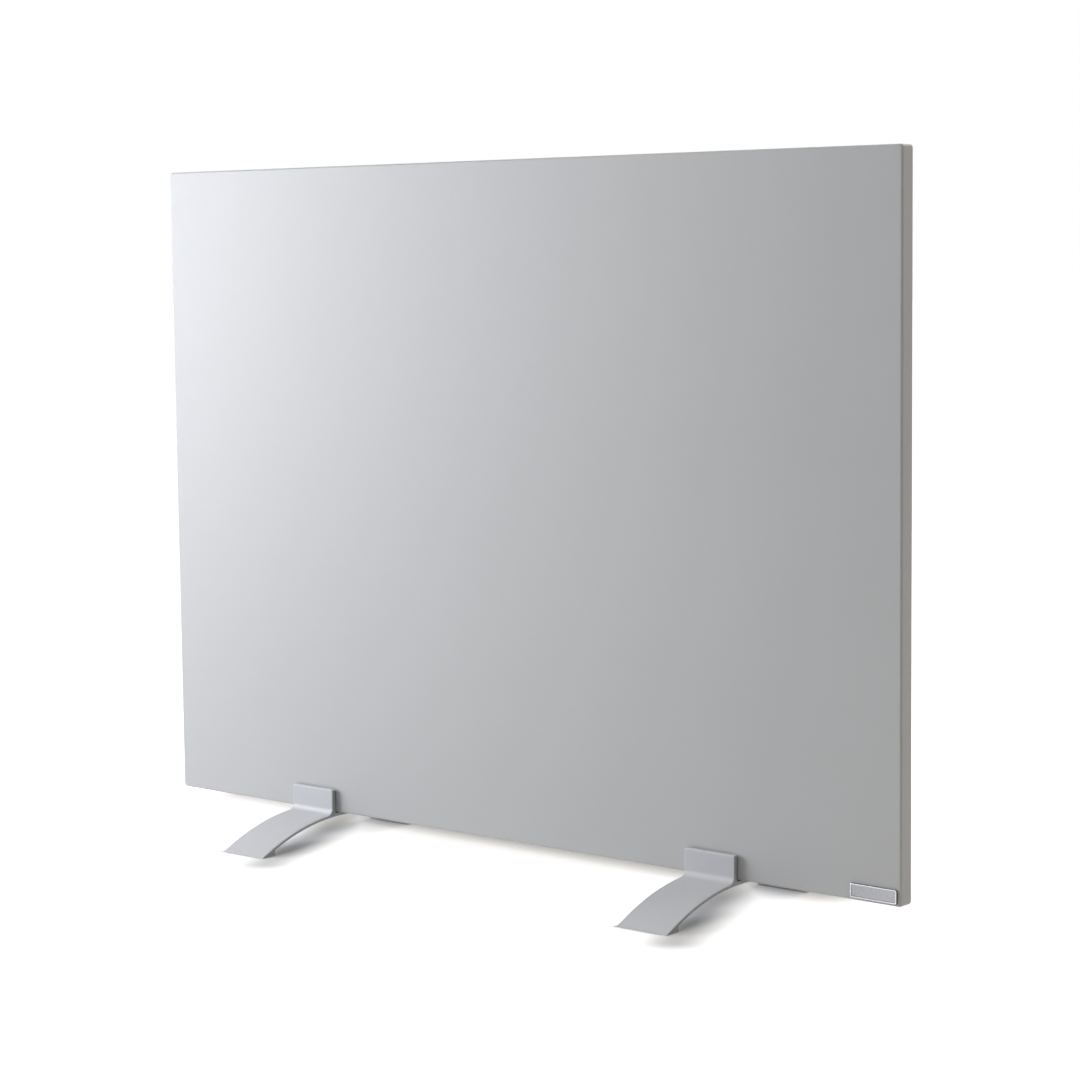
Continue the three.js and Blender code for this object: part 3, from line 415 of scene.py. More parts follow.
def hexagon_outline(across):
    """A hexagon that measures across from flat to flat, its edges divided in the same way."""
    corners = [Vector((math.cos(k * SIXTH), math.sin(k * SIXTH))) for k in range(6)]
    points = []
    for k, corner in enumerate(corners):
        after = corners[(k + 1) % len(corners)]
        points += [corner.lerp(after, step / HEX_EDGE_STEPS) for step in range(HEX_EDGE_STEPS)]
    return [point * across / math.sqrt(3) for point in points]


def turned_with_recess(profile, recess, depth, taper):
    """Rings about the y axis for a (radius, y) profile, ending in a recess cut into its last face."""
    angles = [math.atan2(point.y, point.x) for point in recess]
    rings = [[(radius * math.cos(a), y, radius * math.sin(a)) for a in angles]
             for radius, y in profile]
    top = profile[-1][1]
    rings.append([(point.x, top, point.y) for point in recess])
    rings.append([(point.x * taper, top - depth, point.y * taper) for point in recess])
    return rings


def pan_head_screw(node):
    """A pan-head screw whose head faces +Y, with a domed top and a tapered cross recess."""
    low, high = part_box(node)
    centre = (low + high) / 2
    head = (high.x - low.x) / 2
    seat = high.y - PAN_HEIGHT
    rim = seat + PAN_RIM
    dome = arc(0, 0, 1, 0, PAN_DOME, PAN_DOME_STEPS)
    profile = [(SCREW_POINT, low.y), (SCREW_RADIUS, low.y + SCREW_RADIUS), (SCREW_RADIUS, seat),
               (head, seat), (head, rim)]
    profile += [(head - PAN_SHOULDER * (1 - c), rim + (PAN_HEIGHT - PAN_RIM) * s / math.sin(PAN_DOME))
                for c, s in dome[1:]]
    rings = turned_with_recess(profile, cross_outline(), CROSS_DEPTH, CROSS_TAPER)
    screw = piece_from(fine(node), loft(rings), sharp=40)
    screw.location = (centre.x, 0, centre.z)
    return screw


def set_screw(node):
    """A headless screw with a hexagon socket that faces +Y and a few turns of thread showing."""
    low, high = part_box(node)
    centre = (low + high) / 2
    radius = (high.x - low.x) / 2
    profile = [(radius - SET_SCREW_CHAMFER, low.y), (radius, low.y + SET_SCREW_CHAMFER)]
    turns = int((high.y - low.y - 2 * SET_SCREW_CHAMFER) / SET_SCREW_PITCH)
    for turn in range(turns):
        y = low.y + SET_SCREW_CHAMFER + turn * SET_SCREW_PITCH
        profile += [(radius, y + THREAD_CREST[0]), (radius - THREAD_DEPTH, y + SET_SCREW_PITCH / 2),
                    (radius, y + SET_SCREW_PITCH - THREAD_CREST[1])]
    profile += [(radius, high.y - SET_SCREW_CHAMFER), (radius - SET_SCREW_CHAMFER, high.y)]
    rings = turned_with_recess(profile, hexagon_outline(HEX_WIDTH), HEX_DEPTH, HEX_TAPER)
    screw = piece_from(fine(node), loft(rings))
    screw.location = (centre.x, 0, centre.z)
    return screw


def make_gland_nut():
    """The domed cap nut of the cord gland, with grip ribs round its upper part."""
    low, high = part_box("gland_nut")
    centre = (low + high) / 2
    outer = (high.x - low.x) / 2
    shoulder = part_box("gland_seal")[0].z - GLAND_SEAL_GAP
    dome = arc(0, 0, 1, 0, QUARTER, GLAND_DOME_STEPS)
    profile = [(GLAND_INSIDE, shoulder, 0), (GLAND_BORE, shoulder, 0),
               (GLAND_BORE, low.z + GLAND_CHAMFER, 0), (GLAND_BORE + GLAND_CHAMFER, low.z, 0)]
    profile += [(GLAND_MOUTH + (outer - GLAND_MOUTH) * s, low.z + GLAND_DOME * (1 - c), 0)
                for c, s in dome]
    above_dome = [low.z + GLAND_DOME + height for height in GLAND_RIBS_START]
    below_top = [high.z - height for height in GLAND_RIBS_END]
    profile += [(outer, above_dome[0], 0), (outer, above_dome[1], 1),
                (outer, below_top[0], 1), (outer, below_top[1], 0),
                (outer - GLAND_CHAMFER, high.z, 0), (GLAND_INSIDE, high.z, 0)]
    sides = GLAND_RIBS * GLAND_RIB_STEPS
    rings = []
    for radius, z, ribbed in profile:
        ring = []
        for k in range(sides):
            angle = FULL_TURN * k / sides
            groove = (1 - math.cos(GLAND_RIBS * angle)) / 2
            r = radius - ribbed * GLAND_RIB_DEPTH * groove ** GLAND_RIB_POWER
            ring.append((centre.x + r * math.cos(angle), centre.y + r * math.sin(angle), z))
        rings.append(ring)
    return piece_from(fine("gland_nut"), loft(rings, closed=True), sharp=40)


def softened(node, edge):
    """A copy of a solid with its hard edges rounded a little."""
    bm = bmesh.new()
    bm.from_mesh(frame["nodes"][node].data)
    bmesh.ops.remove_doubles(bm, verts=bm.verts, dist=SOLID_WELD)
    bmesh.ops.dissolve_limit(bm, angle_limit=FLAT_WITHIN, verts=bm.verts, edges=bm.edges)
    obj = piece_from(fine(node), bm)
    obj.data.materials.clear()
    rounding = obj.modifiers.new("rounded_edges", "BEVEL")
    rounding.width = edge
    rounding.segments = SOFT_SEGMENTS
    rounding.limit_method = "ANGLE"
    rounding.angle_limit = SOFT_FROM
    obj.modifiers.move(len(obj.modifiers) - 1, 0)
    return obj


# ---------------------------------------------------------------- shared effects

FLOAT, COLOUR, VECTOR = "NodeSocketFloat", "NodeSocketColor", "NodeSocketVector"
NOISE_SPAN = (0.3, 0.7)        # nearly all values of a noise texture lie between these
RUBBED = (0.52, 0.62)          # pointiness where rubbing starts and where it is complete
RUBBED_SPAN = (0.3, 1.0)       # how much of the rubbing stays where the noise breaks it up
END_SHADE_FACING = (0.93, 0.99)       # how squarely a face looks along x: from the rim to the sawn end, which gets painted shade and from the long sides to the rim, which gets a painted highlight
RIM_HIGHLIGHT_FACING = (0.15, 0.5)         # and from the long sides to the rim
LOOKS_UP = (0.5, 1.0)          # how squarely a face looks up: where dust starts and lies fully
DUST_SPAN = (0.2, 1.0)         # from bare places to clumps


def feed(tree, socket, value):
    """Sets an input to a value, or links it to another node's output."""
    if isinstance(value, bpy.types.NodeSocket):
        tree.links.new(value, socket)
    else:
        socket.default_value = value


def add(tree, kind, inputs=None, **settings):
    """A node with its settings and its inputs, each a value or another node's output."""
    item = tree.nodes.new(kind)
    for name, value in settings.items():
        setattr(item, name, value)
    for name, value in (inputs or {}).items():
        feed(tree, item.inputs[name], value)
    return item


def ramp(tree, value, source=(0.0, 1.0), result=(0.0, 1.0), curve="LINEAR"):
    """Carries a value from one span over to another, and holds it at the ends."""
    item = add(tree, "ShaderNodeMapRange",
               {"Value": value, "From Min": source[0], "From Max": source[1],
                "To Min": result[0], "To Max": result[1]}, interpolation_type=curve)
    return item.outputs["Result"]


def facing(tree, axis):
    """How squarely the surface looks along an axis, from -1 to 1."""
    normal = tree.nodes.new("ShaderNodeNewGeometry").outputs["Normal"]
    return add(tree, "ShaderNodeSeparateXYZ", {"Vector": normal}).outputs[axis]


def effect(name, inputs, outputs, build):
    """A node group. build gets the tree and the inputs by name, and returns the outputs by name."""
    tree = bpy.data.node_groups.new(name, "ShaderNodeTree")
    for label, kind in inputs.items():
        tree.interface.new_socket(name=label, in_out="INPUT", socket_type=kind)
    for label, kind in outputs.items():
        tree.interface.new_socket(name=label, in_out="OUTPUT", socket_type=kind)
    entry = tree.nodes.new("NodeGroupInput")
    leaving = tree.nodes.new("NodeGroupOutput")
    results = build(tree, {label: entry.outputs[label] for label in inputs})
    for label, socket in results.items():
        tree.links.new(socket, leaving.inputs[label])
    return tree


def noise(tree, place, scale, detail=2.0, roughness=0.5):
    item = add(tree, "ShaderNodeTexNoise",
               {"Vector": place, "Scale": scale, "Detail": detail, "Roughness": roughness})
    return item.outputs["Fac"]


def math_node(tree, operation, first, second=0.5):
    return add(tree, "ShaderNodeMath", {0: first, 1: second}, operation=operation).outputs[0]


def build_texture_of_coating(tree, given):
    """Sprayed and baked powder: soft orange peel with fine grit on it."""
    peel = noise(tree, given["Place"], given["Peel Scale"], detail=1.0)
    grit = noise(tree, given["Place"], given["Grit Scale"], detail=3.0, roughness=0.7)
    height = add(tree, "ShaderNodeMix", {"Factor": given["Grit Share"], "A": peel, "B": grit},
                 data_type="FLOAT")
    return {"Height": height.outputs["Result"]}


def build_uneven_tone(tree, given):
    """Very soft patches of lighter and darker tone."""
    patches = noise(tree, given["Place"], given["Scale"], detail=3.0)
    factor = ramp(tree, patches, NOISE_SPAN)
    low = math_node(tree, "SUBTRACT", 1.0, given["Amount"])
    high = math_node(tree, "ADD", 1.0, given["Amount"])
    gain = ramp(tree, factor, result=(low, high))
    colour = add(tree, "ShaderNodeVectorMath", {0: given["Colour"], "Scale": gain}, operation="SCALE")
    return {"Colour": colour.outputs["Vector"], "Patches": factor}


def build_rubbed_edges(tree, given):
    """A mask that is one where an outside edge is rubbed, broken up by fine noise."""
    raised = ramp(tree, tree.nodes.new("ShaderNodeNewGeometry").outputs["Pointiness"], RUBBED)
    specks = noise(tree, given["Place"], given["Break Scale"], detail=3.0)
    breaks = ramp(tree, specks, NOISE_SPAN, RUBBED_SPAN)
    mask = math_node(tree, "MULTIPLY", raised, breaks)
    return {"Mask": math_node(tree, "MULTIPLY", mask, given["Amount"])}


def build_drawn_lines(tree, given):
    """Fine lines along one direction, as rolling, drawing or brushing leaves them."""
    stretched = add(tree, "ShaderNodeVectorMath",
                    {0: given["Place"], 1: given["Stretch"]}, operation="MULTIPLY")
    lines = noise(tree, stretched.outputs["Vector"], 1.0, detail=4.0, roughness=0.6)
    return {"Height": lines}


def build_end_shade_and_rim_highlight(tree, given):
    """Masks for faces square to x: the sawn end itself, which gets painted shade, and the rounded rim
    next to it, which gets a painted highlight.
    """
    across = math_node(tree, "ABSOLUTE", facing(tree, "X"))
    end = ramp(tree, across, END_SHADE_FACING)
    rim = math_node(tree, "SUBTRACT", ramp(tree, across, RIM_HIGHLIGHT_FACING), end)
    return {"End": end, "Rim": rim}


def build_settled_dust(tree, given):
    """A thin, broken film on faces that look up."""
    up = ramp(tree, facing(tree, "Z"), LOOKS_UP)
    specks = noise(tree, given["Place"], given["Scale"], detail=5.0)
    clumps = ramp(tree, specks, NOISE_SPAN, DUST_SPAN)
    mask = math_node(tree, "MULTIPLY", up, clumps)
    return {"Mask": math_node(tree, "MULTIPLY", mask, given["Amount"])}


EFFECTS = {
    "coating": effect("texture_of_coating",
                      {"Place": VECTOR, "Peel Scale": FLOAT, "Grit Scale": FLOAT, "Grit Share": FLOAT},
                      {"Height": FLOAT}, build_texture_of_coating),
    "tone": effect("uneven_tone",
                   {"Place": VECTOR, "Colour": COLOUR, "Scale": FLOAT, "Amount": FLOAT},
                   {"Colour": COLOUR, "Patches": FLOAT}, build_uneven_tone),
    "edges": effect("rubbed_edges",
                    {"Place": VECTOR, "Break Scale": FLOAT, "Amount": FLOAT},
                    {"Mask": FLOAT}, build_rubbed_edges),
    "lines": effect("drawn_lines",
                    {"Place": VECTOR, "Stretch": VECTOR}, {"Height": FLOAT}, build_drawn_lines),
    # masks for the painted shade on sawn ends and the painted highlight on their rims
    "sawn": effect("sawn_end_shade_and_rim_highlight", {}, {"End": FLOAT, "Rim": FLOAT}, build_end_shade_and_rim_highlight),
    "dust": effect("settled_dust",
                   {"Place": VECTOR, "Scale": FLOAT, "Amount": FLOAT},
                   {"Mask": FLOAT}, build_settled_dust),
}


def place_effect(tree, label, inputs):
    item = tree.nodes.new("ShaderNodeGroup")
    item.node_tree = EFFECTS[label]
    for name, value in inputs.items():
        feed(tree, item.inputs[name], value)
    return item.outputs


# ---------------------------------------------------------------- finishes

PALE_GREY = (0.80, 0.805, 0.81)
DUST_TONE = (0.78, 0.77, 0.75)
DUST_CLUMPS = 90               # per metre
RUBBED_BREAKS = 400            # per metre
# Painted shade on the nameplate: a darker pocket, and darker still on the pocket's walls.
PLATE_POCKET_SHADE = (0.60, 0.605, 0.625)
PLATE_POCKET_SHADE_SPAN = (0.3 * PLATE_EDGE, 0.9 * PLATE_POCKET)    # the pocket's painted shade comes in between
PLATE_WALL_SHADE = (0.33, 0.335, 0.35)
PLATE_WALL_SHADE_LEAN = (0.96, 0.6)  # how squarely the plate looks forwards: from flat to the wall's painted shade


def linear(colour):
    """A colour given as it looks on screen, as the shader wants it (the sRGB curve undone)."""
    return (*(c / 12.92 if c <= 0.04045 else ((c + 0.055) / 1.055) ** 2.4 for c in colour), 1)


def blended(tree, factor, first, second):
    item = add(tree, "ShaderNodeMix", {"Factor": factor}, data_type="RGBA")
    for name, value in (("A", first), ("B", second)):
        feed(tree, next(s for s in item.inputs if s.name == name and s.type == "RGBA"), value)
    return next(s for s in item.outputs if s.type == "RGBA")


def plate_painted_shade(tree, place, paint):
    """Painted shade: a darker pocket inside the bright border, and darker still on the walls between
    them.
    """
    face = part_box("nameplate")[0].y
    depth = add(tree, "ShaderNodeSeparateXYZ", {"Vector": place}).outputs["Y"]
    pocket = ramp(tree, depth, [face + below for below in PLATE_POCKET_SHADE_SPAN])
    paint = blended(tree, pocket, paint, linear(PLATE_POCKET_SHADE))
    wall = ramp(tree, math_node(tree, "ABSOLUTE", facing(tree, "Y")), PLATE_WALL_SHADE_LEAN)
    return blended(tree, wall, paint, linear(PLATE_WALL_SHADE))


def surface(name, colour, *, roughness, metallic=0.0, specular=0.5, tone, shine=0.05,
            grain=None, lines=None, edges=None, sawn=None, dust=0.0, add_painted_shade=None):
    """One finish: its colour with soft patches, its sheen, and the relief that its making leaves.

    tone is (patches per metre, share), grain (peel mm, grit mm, grit share, depth mm), lines
    (stretch per metre along x, y, z and depth mm), edges (colour, amount) and sawn (painted shade of
    the sawn ends, painted highlight of their rims). shine is how far the roughness strays over the
    patches. add_painted_shade paints shade into the colour by place.
    """
    material = bpy.data.materials.new(name)
    material.use_nodes = True
    tree = material.node_tree
    tree.nodes.clear()
    place = tree.nodes.new("ShaderNodeTexCoord").outputs["Object"]
    scale, amount = tone
    toned = place_effect(tree, "tone", {"Place": place, "Colour": linear(colour), "Scale": scale,
                                        "Amount": amount})
    paint = toned["Colour"]
    # painted shade by place, as in the nameplate's pocket and on its walls
    if add_painted_shade:
        paint = add_painted_shade(tree, place, paint)
    # painted shade on the sawn ends and a painted highlight on their rounded rims
    if sawn:
        masks = place_effect(tree, "sawn", {})
        for mask, shade in zip(("End", "Rim"), sawn):
            paint = blended(tree, masks[mask], paint, linear(shade))
    if edges:
        bare, amount = edges
        worn = place_effect(tree, "edges", {"Place": place, "Break Scale": RUBBED_BREAKS,
                                            "Amount": amount})
        paint = blended(tree, worn["Mask"], paint, linear(bare))
    if dust:
        film = place_effect(tree, "dust", {"Place": place, "Scale": DUST_CLUMPS, "Amount": dust})
        paint = blended(tree, film["Mask"], paint, linear(DUST_TONE))
    sheen = ramp(tree, toned["Patches"], result=(roughness - shine, roughness + shine))
    shader = add(tree, "ShaderNodeBsdfPrincipled",
                 {"Base Color": paint, "Roughness": sheen, "Metallic": metallic,
                  "Specular IOR Level": specular})
    reliefs = []
    if grain:
        peel, grit, share, depth = grain
        relief = place_effect(tree, "coating", {"Place": place, "Peel Scale": 1 / (peel * MM),
                                                "Grit Scale": 1 / (grit * MM), "Grit Share": share})
        reliefs.append((relief["Height"], depth))
    if lines:
        stretch, depth = lines
        relief = place_effect(tree, "lines", {"Place": place, "Stretch": stretch})
        reliefs.append((relief["Height"], depth))
    normal = None
    for height, depth in reliefs:
        bump = add(tree, "ShaderNodeBump", {"Height": height, "Distance": depth * MM})
        if normal:
            tree.links.new(normal, bump.inputs["Normal"])
        normal = bump.outputs["Normal"]
    tree.links.new(normal, shader.inputs["Normal"])
    output = tree.nodes.new("ShaderNodeOutputMaterial")
    tree.links.new(shader.outputs["BSDF"], output.inputs["Surface"])
    return material


finishes = {
    "paint": surface(
        "satin_powder_coat", PALE_GREY, roughness=0.42, tone=(5, 0.012), shine=0.02,
        grain=(1.4, 0.35, 0.4, 0.012), lines=((20, 20, 500), 0.012), dust=0.04),
    # the sawn ends get painted shade and their rounded rims a painted highlight
    "foot_metal": surface(
        "silver_coated_extrusion", (0.80, 0.807, 0.825), roughness=0.52, metallic=0.1, specular=0.3,
        tone=(20, 0.02), shine=0.04, grain=(0.9, 0.3, 0.6, 0.01), lines=((40, 2500, 2500), 0.004),
        sawn=((0.66, 0.67, 0.68), (0.9, 0.9, 0.91)), dust=0.03),
    # the plate's pocket and the pocket's walls get painted shade
    "plate_metal": surface(
        "bright_nickel_plate", (0.80, 0.80, 0.81), roughness=0.24, metallic=1.0,
        tone=(300, 0.08), shine=0.08, lines=((300, 3000, 9000), 0.004), add_painted_shade=plate_painted_shade),
    "fastener": surface(
        "nickel_plated_screw", (0.78, 0.78, 0.79), roughness=0.28, metallic=1.0,
        tone=(150, 0.05), shine=0.08, grain=(0.5, 0.15, 0.5, 0.006), edges=((0.93, 0.93, 0.93), 0.6)),
    "set_screw": surface(
        "black_oxide_screw", (0.16, 0.16, 0.17), roughness=0.42, metallic=0.7,
        tone=(200, 0.12), shine=0.08, grain=(0.4, 0.12, 0.6, 0.008), edges=((0.45, 0.45, 0.46), 0.6)),
    "galvanised": surface(
        "galvanised_sheet", (0.68, 0.70, 0.71), roughness=0.42, metallic=0.9,
        tone=(120, 0.14), shine=0.12, grain=(3.0, 0.5, 0.3, 0.01)),
    "liner": surface(
        "grey_rubber_strip", (0.42, 0.43, 0.44), roughness=0.85,
        tone=(80, 0.06), grain=(0.6, 0.2, 0.6, 0.02), dust=0.1),
    "black_rubber": surface(
        "black_rubber", (0.12, 0.12, 0.12), roughness=0.8,
        tone=(80, 0.1), grain=(0.6, 0.2, 0.6, 0.02), dust=0.15),
    "film": surface(
        "amber_heating_film", (0.72, 0.54, 0.22), roughness=0.3,
        tone=(25, 0.06), shine=0.08, lines=((30, 30, 900), 0.01)),
    "resistance_foil": surface(
        "etched_resistance_foil", (0.46, 0.44, 0.40), roughness=0.38, metallic=0.9,
        tone=(60, 0.08), lines=((2000, 2000, 80), 0.004)),
    "reflector": surface(
        "bright_reflector_foil", (0.86, 0.86, 0.87), roughness=0.18, metallic=1.0,
        tone=(40, 0.04), shine=0.08, grain=(9.0, 1.5, 0.3, 0.05)),
    "wool": surface(
        "pressed_mineral_wool", (0.84, 0.79, 0.62), roughness=0.95,
        tone=(300, 0.16), grain=(2.5, 0.4, 0.7, 0.25), lines=((150, 600, 900), 0.1)),
    "housing": surface(
        "grey_moulded_housing", (0.61, 0.62, 0.63), roughness=0.55,
        tone=(25, 0.03), grain=(0.7, 0.25, 0.6, 0.03), edges=((0.72, 0.73, 0.74), 0.3), dust=0.06),
    "nylon": surface(
        "natural_nylon", (0.89, 0.88, 0.83), roughness=0.45,
        tone=(90, 0.03), grain=(0.8, 0.3, 0.4, 0.01)),
    "ceramic": surface(
        "glazed_ceramic", (0.93, 0.92, 0.88), roughness=0.22,
        tone=(120, 0.03), grain=(2.0, 0.4, 0.2, 0.02)),
    "brass": surface(
        "plain_brass", (0.78, 0.64, 0.36), roughness=0.3, metallic=1.0,
        tone=(150, 0.08), shine=0.08, lines=((1500, 1500, 300), 0.004),
        edges=((0.93, 0.82, 0.55), 0.5)),
}

LEAD_COLOURS = {
    "brown": (0.42, 0.25, 0.13),
    "red": (0.62, 0.18, 0.16),
    "blue": (0.18, 0.39, 0.66),
    "green": (0.37, 0.60, 0.24),
}

for lead, colour_of_lead in LEAD_COLOURS.items():
    finishes[f"lead_{lead}"] = surface(
        f"{lead}_silicone_lead", colour_of_lead, roughness=0.6,
        tone=(200, 0.08), grain=(0.8, 0.25, 0.5, 0.01))

slot_of = {part["node"]: part["material_slot"] for part in frame["record"]["subparts"]}


def dress_solids():
    for node, solid in frame["nodes"].items():
        solid.data.materials.clear()
        solid.data.materials.append(finishes[slot_of[node]])


# ---------------------------------------------------------------- assembly

SOFTENED = {                   # node: edge radius
    "box_base": 0.5 * MM,
    "box_lid": 0.6 * MM,
    "box_gasket": 0.15 * MM,
    "gland_body": 0.35 * MM,
    "left_foot_liner": 0.12 * MM,
    "right_foot_liner": 0.12 * MM,
}


def dress_heater():
    bodies = frame["record"]["behaviour"]["bodies"]
    body_of = {node: body for body, nodes in bodies.items() for node in nodes}
    makers = {
        "front_panel": make_tray,
        "rear_cover": make_rear_cover,
        "nameplate": make_nameplate,
        "left_foot": lambda: make_foot("left"),
        "right_foot": lambda: make_foot("right"),
        "gland_nut": make_gland_nut,
    }
    for node in frame["nodes"]:
        if node.startswith(("cover_screw_", "box_screw_", "lid_screw_")):
            makers[node] = lambda node=node: pan_head_screw(node)
        if "_foot_screw_" in node:
            makers[node] = lambda node=node: set_screw(node)
        if node in SOFTENED:
            makers[node] = lambda node=node: softened(node, SOFTENED[node])
    for node, make in makers.items():
        stand_for(make(), node, body_of[node], finishes[slot_of[node]])


# ---------------------------------------------------------------- floor, light and camera

WHITE = (1, 1, 1, 1)
FLOOR_SIZE = 20
FLOOR_PARTS = 8
FLOOR_TONE = (0.7, 0.7, 0.7, 1)
DEEP_SHADE = 0.08              # how much white of its own the floor adds in the painted shadow
CLEAR_WHITE = 0.88             # and away from it

# Bands of painted shadow on the floor, where it adds less white of its own, so the lamps' real
# shadow shows darker there. A line has a start and an end, a box a middle and a half size, and
# each band fades away over the distance that follows it.
EDGE_LINE = ((-0.37, 0.086, 0), (0.225, 0.086, 0))
EDGE_FADE = 0.056
ANY_HEIGHT = 1                 # more than the floor's own, which is nothing
BROAD_BOX = ((-0.13, 0.155, 0), (0.17, 0.03, ANY_HEIGHT))
BROAD_FADE = 0.14
BROAD_LEAST = 0.3              # the broad band is lighter than the others
FOOT_LINE = ((-0.046, 0.075, 0), (0.036, -0.098, 0))     # from the middle of the foot
FOOT_FADE = 0.039
TIP_FADE_ON_FLOOR = 0.007      # close round the flats that the feet stand on

SOFT_BOXES = {                 # place, target, width and height, watts, colour
    "left_box": ((-1.472, -0.85, 0.6), (0, 0, 0.27), (1, 1), 22.4, (0.915, 0.935, 1)),
    "near_box": ((-1.1, -0.55, 0.75), (-0.2, 0, 0.3), (0.6, 0.8), 2.1, (1, 1, 1)),
    "rear_box": ((-0.3, 1.9, 1.3), (0, 0, 0.25), (1.6, 1.2), 15, (1, 0.96, 0.9)),
    "right_box": ((1.45, 0.68, 1.35), (0.2, 0, 0.4), (0.8, 0.8), 5.6, (1, 0.89, 0.8)),
}
OVERHEAD_PLACE = (0, -0.2, 1)
OVERHEAD_SPREAD = math.radians(60)
OVERHEAD_POWER = 1.08
OVERHEAD_COLOUR = (1, 0.97, 0.89)

LENS = 93.22
SENSOR = 36
CAMERA_PLACE = Vector((1.35287, -1.5326, 0.45632))
CAMERA_YAW = math.radians(40.7314)
CAMERA_PITCH = math.radians(5.8655)
CAMERA_ROLL = math.radians(0.6417)


def vector_math(tree, operation, first, second=(0, 0, 0)):
    item = add(tree, "ShaderNodeVectorMath", {0: first, 1: second}, operation=operation)
    return item.outputs["Value" if operation in ("LENGTH", "DOT_PRODUCT") else "Vector"]


def faded(tree, distance, fade, least=0.0):
    """The least value where the distance is nothing, one from a distance of fade on."""
    return ramp(tree, distance, (0.0, fade), (least, 1.0), curve="SMOOTHSTEP")


def away_from_box(tree, place, centre, half):
    span = vector_math(tree, "ABSOLUTE", vector_math(tree, "SUBTRACT", place, centre))
    beyond = vector_math(tree, "MAXIMUM", vector_math(tree, "SUBTRACT", span, half))
    return vector_math(tree, "LENGTH", beyond)


def away_from_line(tree, place, start, end):
    line = Vector(end) - Vector(start)
    offset = vector_math(tree, "SUBTRACT", place, start)
    along = vector_math(tree, "DOT_PRODUCT", offset, line / line.length_squared)
    along = add(tree, "ShaderNodeClamp", {"Value": along}).outputs["Result"]
    nearest = add(tree, "ShaderNodeVectorMath", {0: line, "Scale": along}, operation="SCALE")
    beside = vector_math(tree, "SUBTRACT", offset, nearest.outputs["Vector"])
    return vector_math(tree, "LENGTH", beside)


def floor_clear_of_painted_shadow(tree):
    """Zero in the painted shadow behind the panel and under the feet, one away from it."""
    place = tree.nodes.new("ShaderNodeTexCoord").outputs["Object"]
    foot = middle_of("right_foot")
    low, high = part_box("right_foot")
    half_width = (high.x - low.x) / 2
    side = vector_math(tree, "MULTIPLY", vector_math(tree, "SIGN", place), (foot.x, 0, 0))
    from_foot = vector_math(tree, "SUBTRACT", place, side)
    front_half = vector_math(tree, "ABSOLUTE", from_foot)
    land_middle = (0, high.y - LAND / 2, 0)
    land_half = (half_width, LAND / 2, ANY_HEIGHT)
    shades = [faded(tree, away_from_box(tree, front_half, land_middle, land_half), TIP_FADE_ON_FLOOR),
              faded(tree, away_from_line(tree, place, *EDGE_LINE), EDGE_FADE),
              faded(tree, away_from_box(tree, place, *BROAD_BOX), BROAD_FADE, BROAD_LEAST),
              faded(tree, away_from_line(tree, from_foot, *FOOT_LINE), FOOT_FADE)]
    clear = shades[0]
    for shade in shades[1:]:
        clear = math_node(tree, "MINIMUM", clear, shade)
    return clear


def seen_or_mirrored(tree):
    """One for rays from the camera, a mirror or a lens, zero for those that carry light."""
    path = tree.nodes.new("ShaderNodeLightPath").outputs
    seen = math_node(tree, "MAXIMUM", path["Is Camera Ray"], path["Is Glossy Ray"])
    return math_node(tree, "MAXIMUM", seen, path["Is Transmission Ray"])


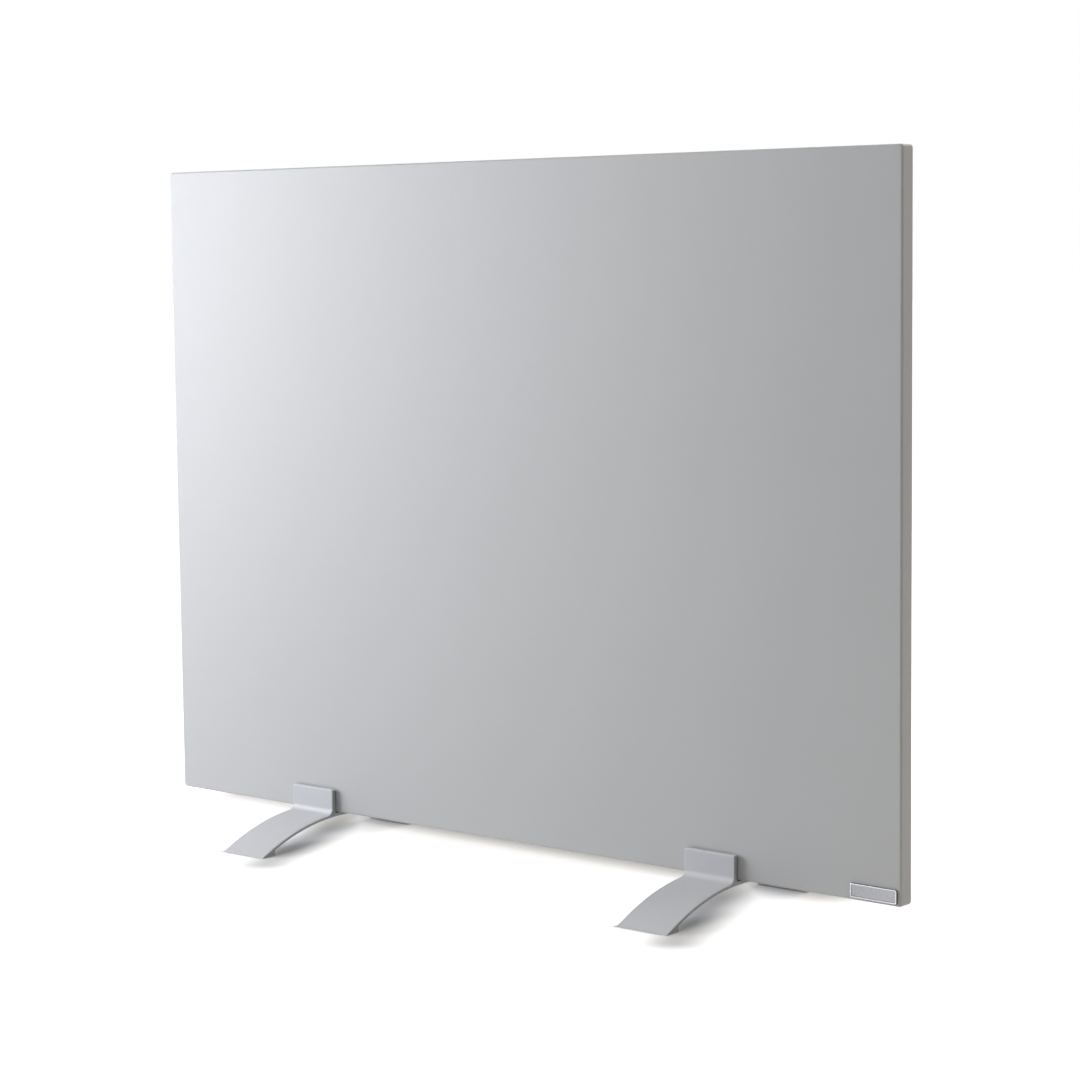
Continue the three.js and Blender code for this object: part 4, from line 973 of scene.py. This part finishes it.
def make_floor():
    """Painted shadow deepens the lamps' own under and behind the heater; the floor is white elsewhere.
    """
    bm = bmesh.new()
    bmesh.ops.create_grid(bm, x_segments=FLOOR_PARTS, y_segments=FLOOR_PARTS, size=FLOOR_SIZE)
    mesh = bpy.data.meshes.new("floor")
    bm.to_mesh(mesh)
    bm.free()
    floor = bpy.data.objects.new("floor", mesh)
    bpy.context.scene.collection.objects.link(floor)
    material = bpy.data.materials.new("pale_floor")
    material.use_nodes = True
    tree = material.node_tree
    tree.nodes.clear()
    diffuse = add(tree, "ShaderNodeBsdfDiffuse", {"Color": FLOOR_TONE})
    # the floor's own white drops in the bands of painted shadow
    white = ramp(tree, floor_clear_of_painted_shadow(tree), result=(DEEP_SHADE, CLEAR_WHITE))
    strength = math_node(tree, "MULTIPLY", seen_or_mirrored(tree), white)
    glow = add(tree, "ShaderNodeEmission", {"Strength": strength})
    both = add(tree, "ShaderNodeAddShader", {0: diffuse.outputs[0], 1: glow.outputs[0]})
    output = tree.nodes.new("ShaderNodeOutputMaterial")
    tree.links.new(both.outputs[0], output.inputs["Surface"])
    mesh.materials.append(material)


def make_world():
    """White where it is seen or mirrored. It lights nothing else."""
    world = bpy.data.worlds.new("studio")
    bpy.context.scene.world = world
    world.use_nodes = True
    tree = world.node_tree
    tree.nodes.clear()
    glow = add(tree, "ShaderNodeBackground", {"Color": WHITE, "Strength": seen_or_mirrored(tree)})
    output = tree.nodes.new("ShaderNodeOutputWorld")
    tree.links.new(glow.outputs[0], output.inputs["Surface"])


def aim(lamp, place, target):
    lamp.location = place
    lamp.rotation_euler = (Vector(target) - Vector(place)).to_track_quat("-Z", "Y").to_euler()
    bpy.context.scene.collection.objects.link(lamp)


def soft_box(name, place, target, size, power, colour):
    data = bpy.data.lights.new(name, "AREA")
    data.shape = "RECTANGLE"
    data.size, data.size_y = size
    data.energy = power
    data.color = colour
    aim(bpy.data.objects.new(name, data), place, target)


def make_lights():
    """A strong soft box at the left, weaker ones round the heater, and an even light from overhead."""
    for name, (place, target, size, power, colour) in SOFT_BOXES.items():
        soft_box(name, place, target, size, power, colour)
    overhead = bpy.data.lights.new("overhead", "SUN")
    overhead.energy = OVERHEAD_POWER
    overhead.angle = OVERHEAD_SPREAD
    overhead.color = OVERHEAD_COLOUR
    aim(bpy.data.objects.new("overhead", overhead), OVERHEAD_PLACE, (0, 0, 0))


def make_camera():
    data = bpy.data.cameras.new("camera")
    data.sensor_width = SENSOR
    data.sensor_fit = "HORIZONTAL"
    data.lens = LENS
    camera = bpy.data.objects.new("camera", data)
    turn = Matrix.Rotation(CAMERA_YAW, 4, "Z") @ Matrix.Rotation(QUARTER - CAMERA_PITCH, 4, "X")
    camera.matrix_world = (Matrix.Translation(CAMERA_PLACE) @ turn
                           @ Matrix.Rotation(-CAMERA_ROLL, 4, "Z"))
    bpy.context.scene.collection.objects.link(camera)
    bpy.context.scene.camera = camera


make_camera()
dress_solids()
dress_heater()
make_floor()
make_world()
make_lights()
bpy.context.scene.view_settings.view_transform = "Standard"
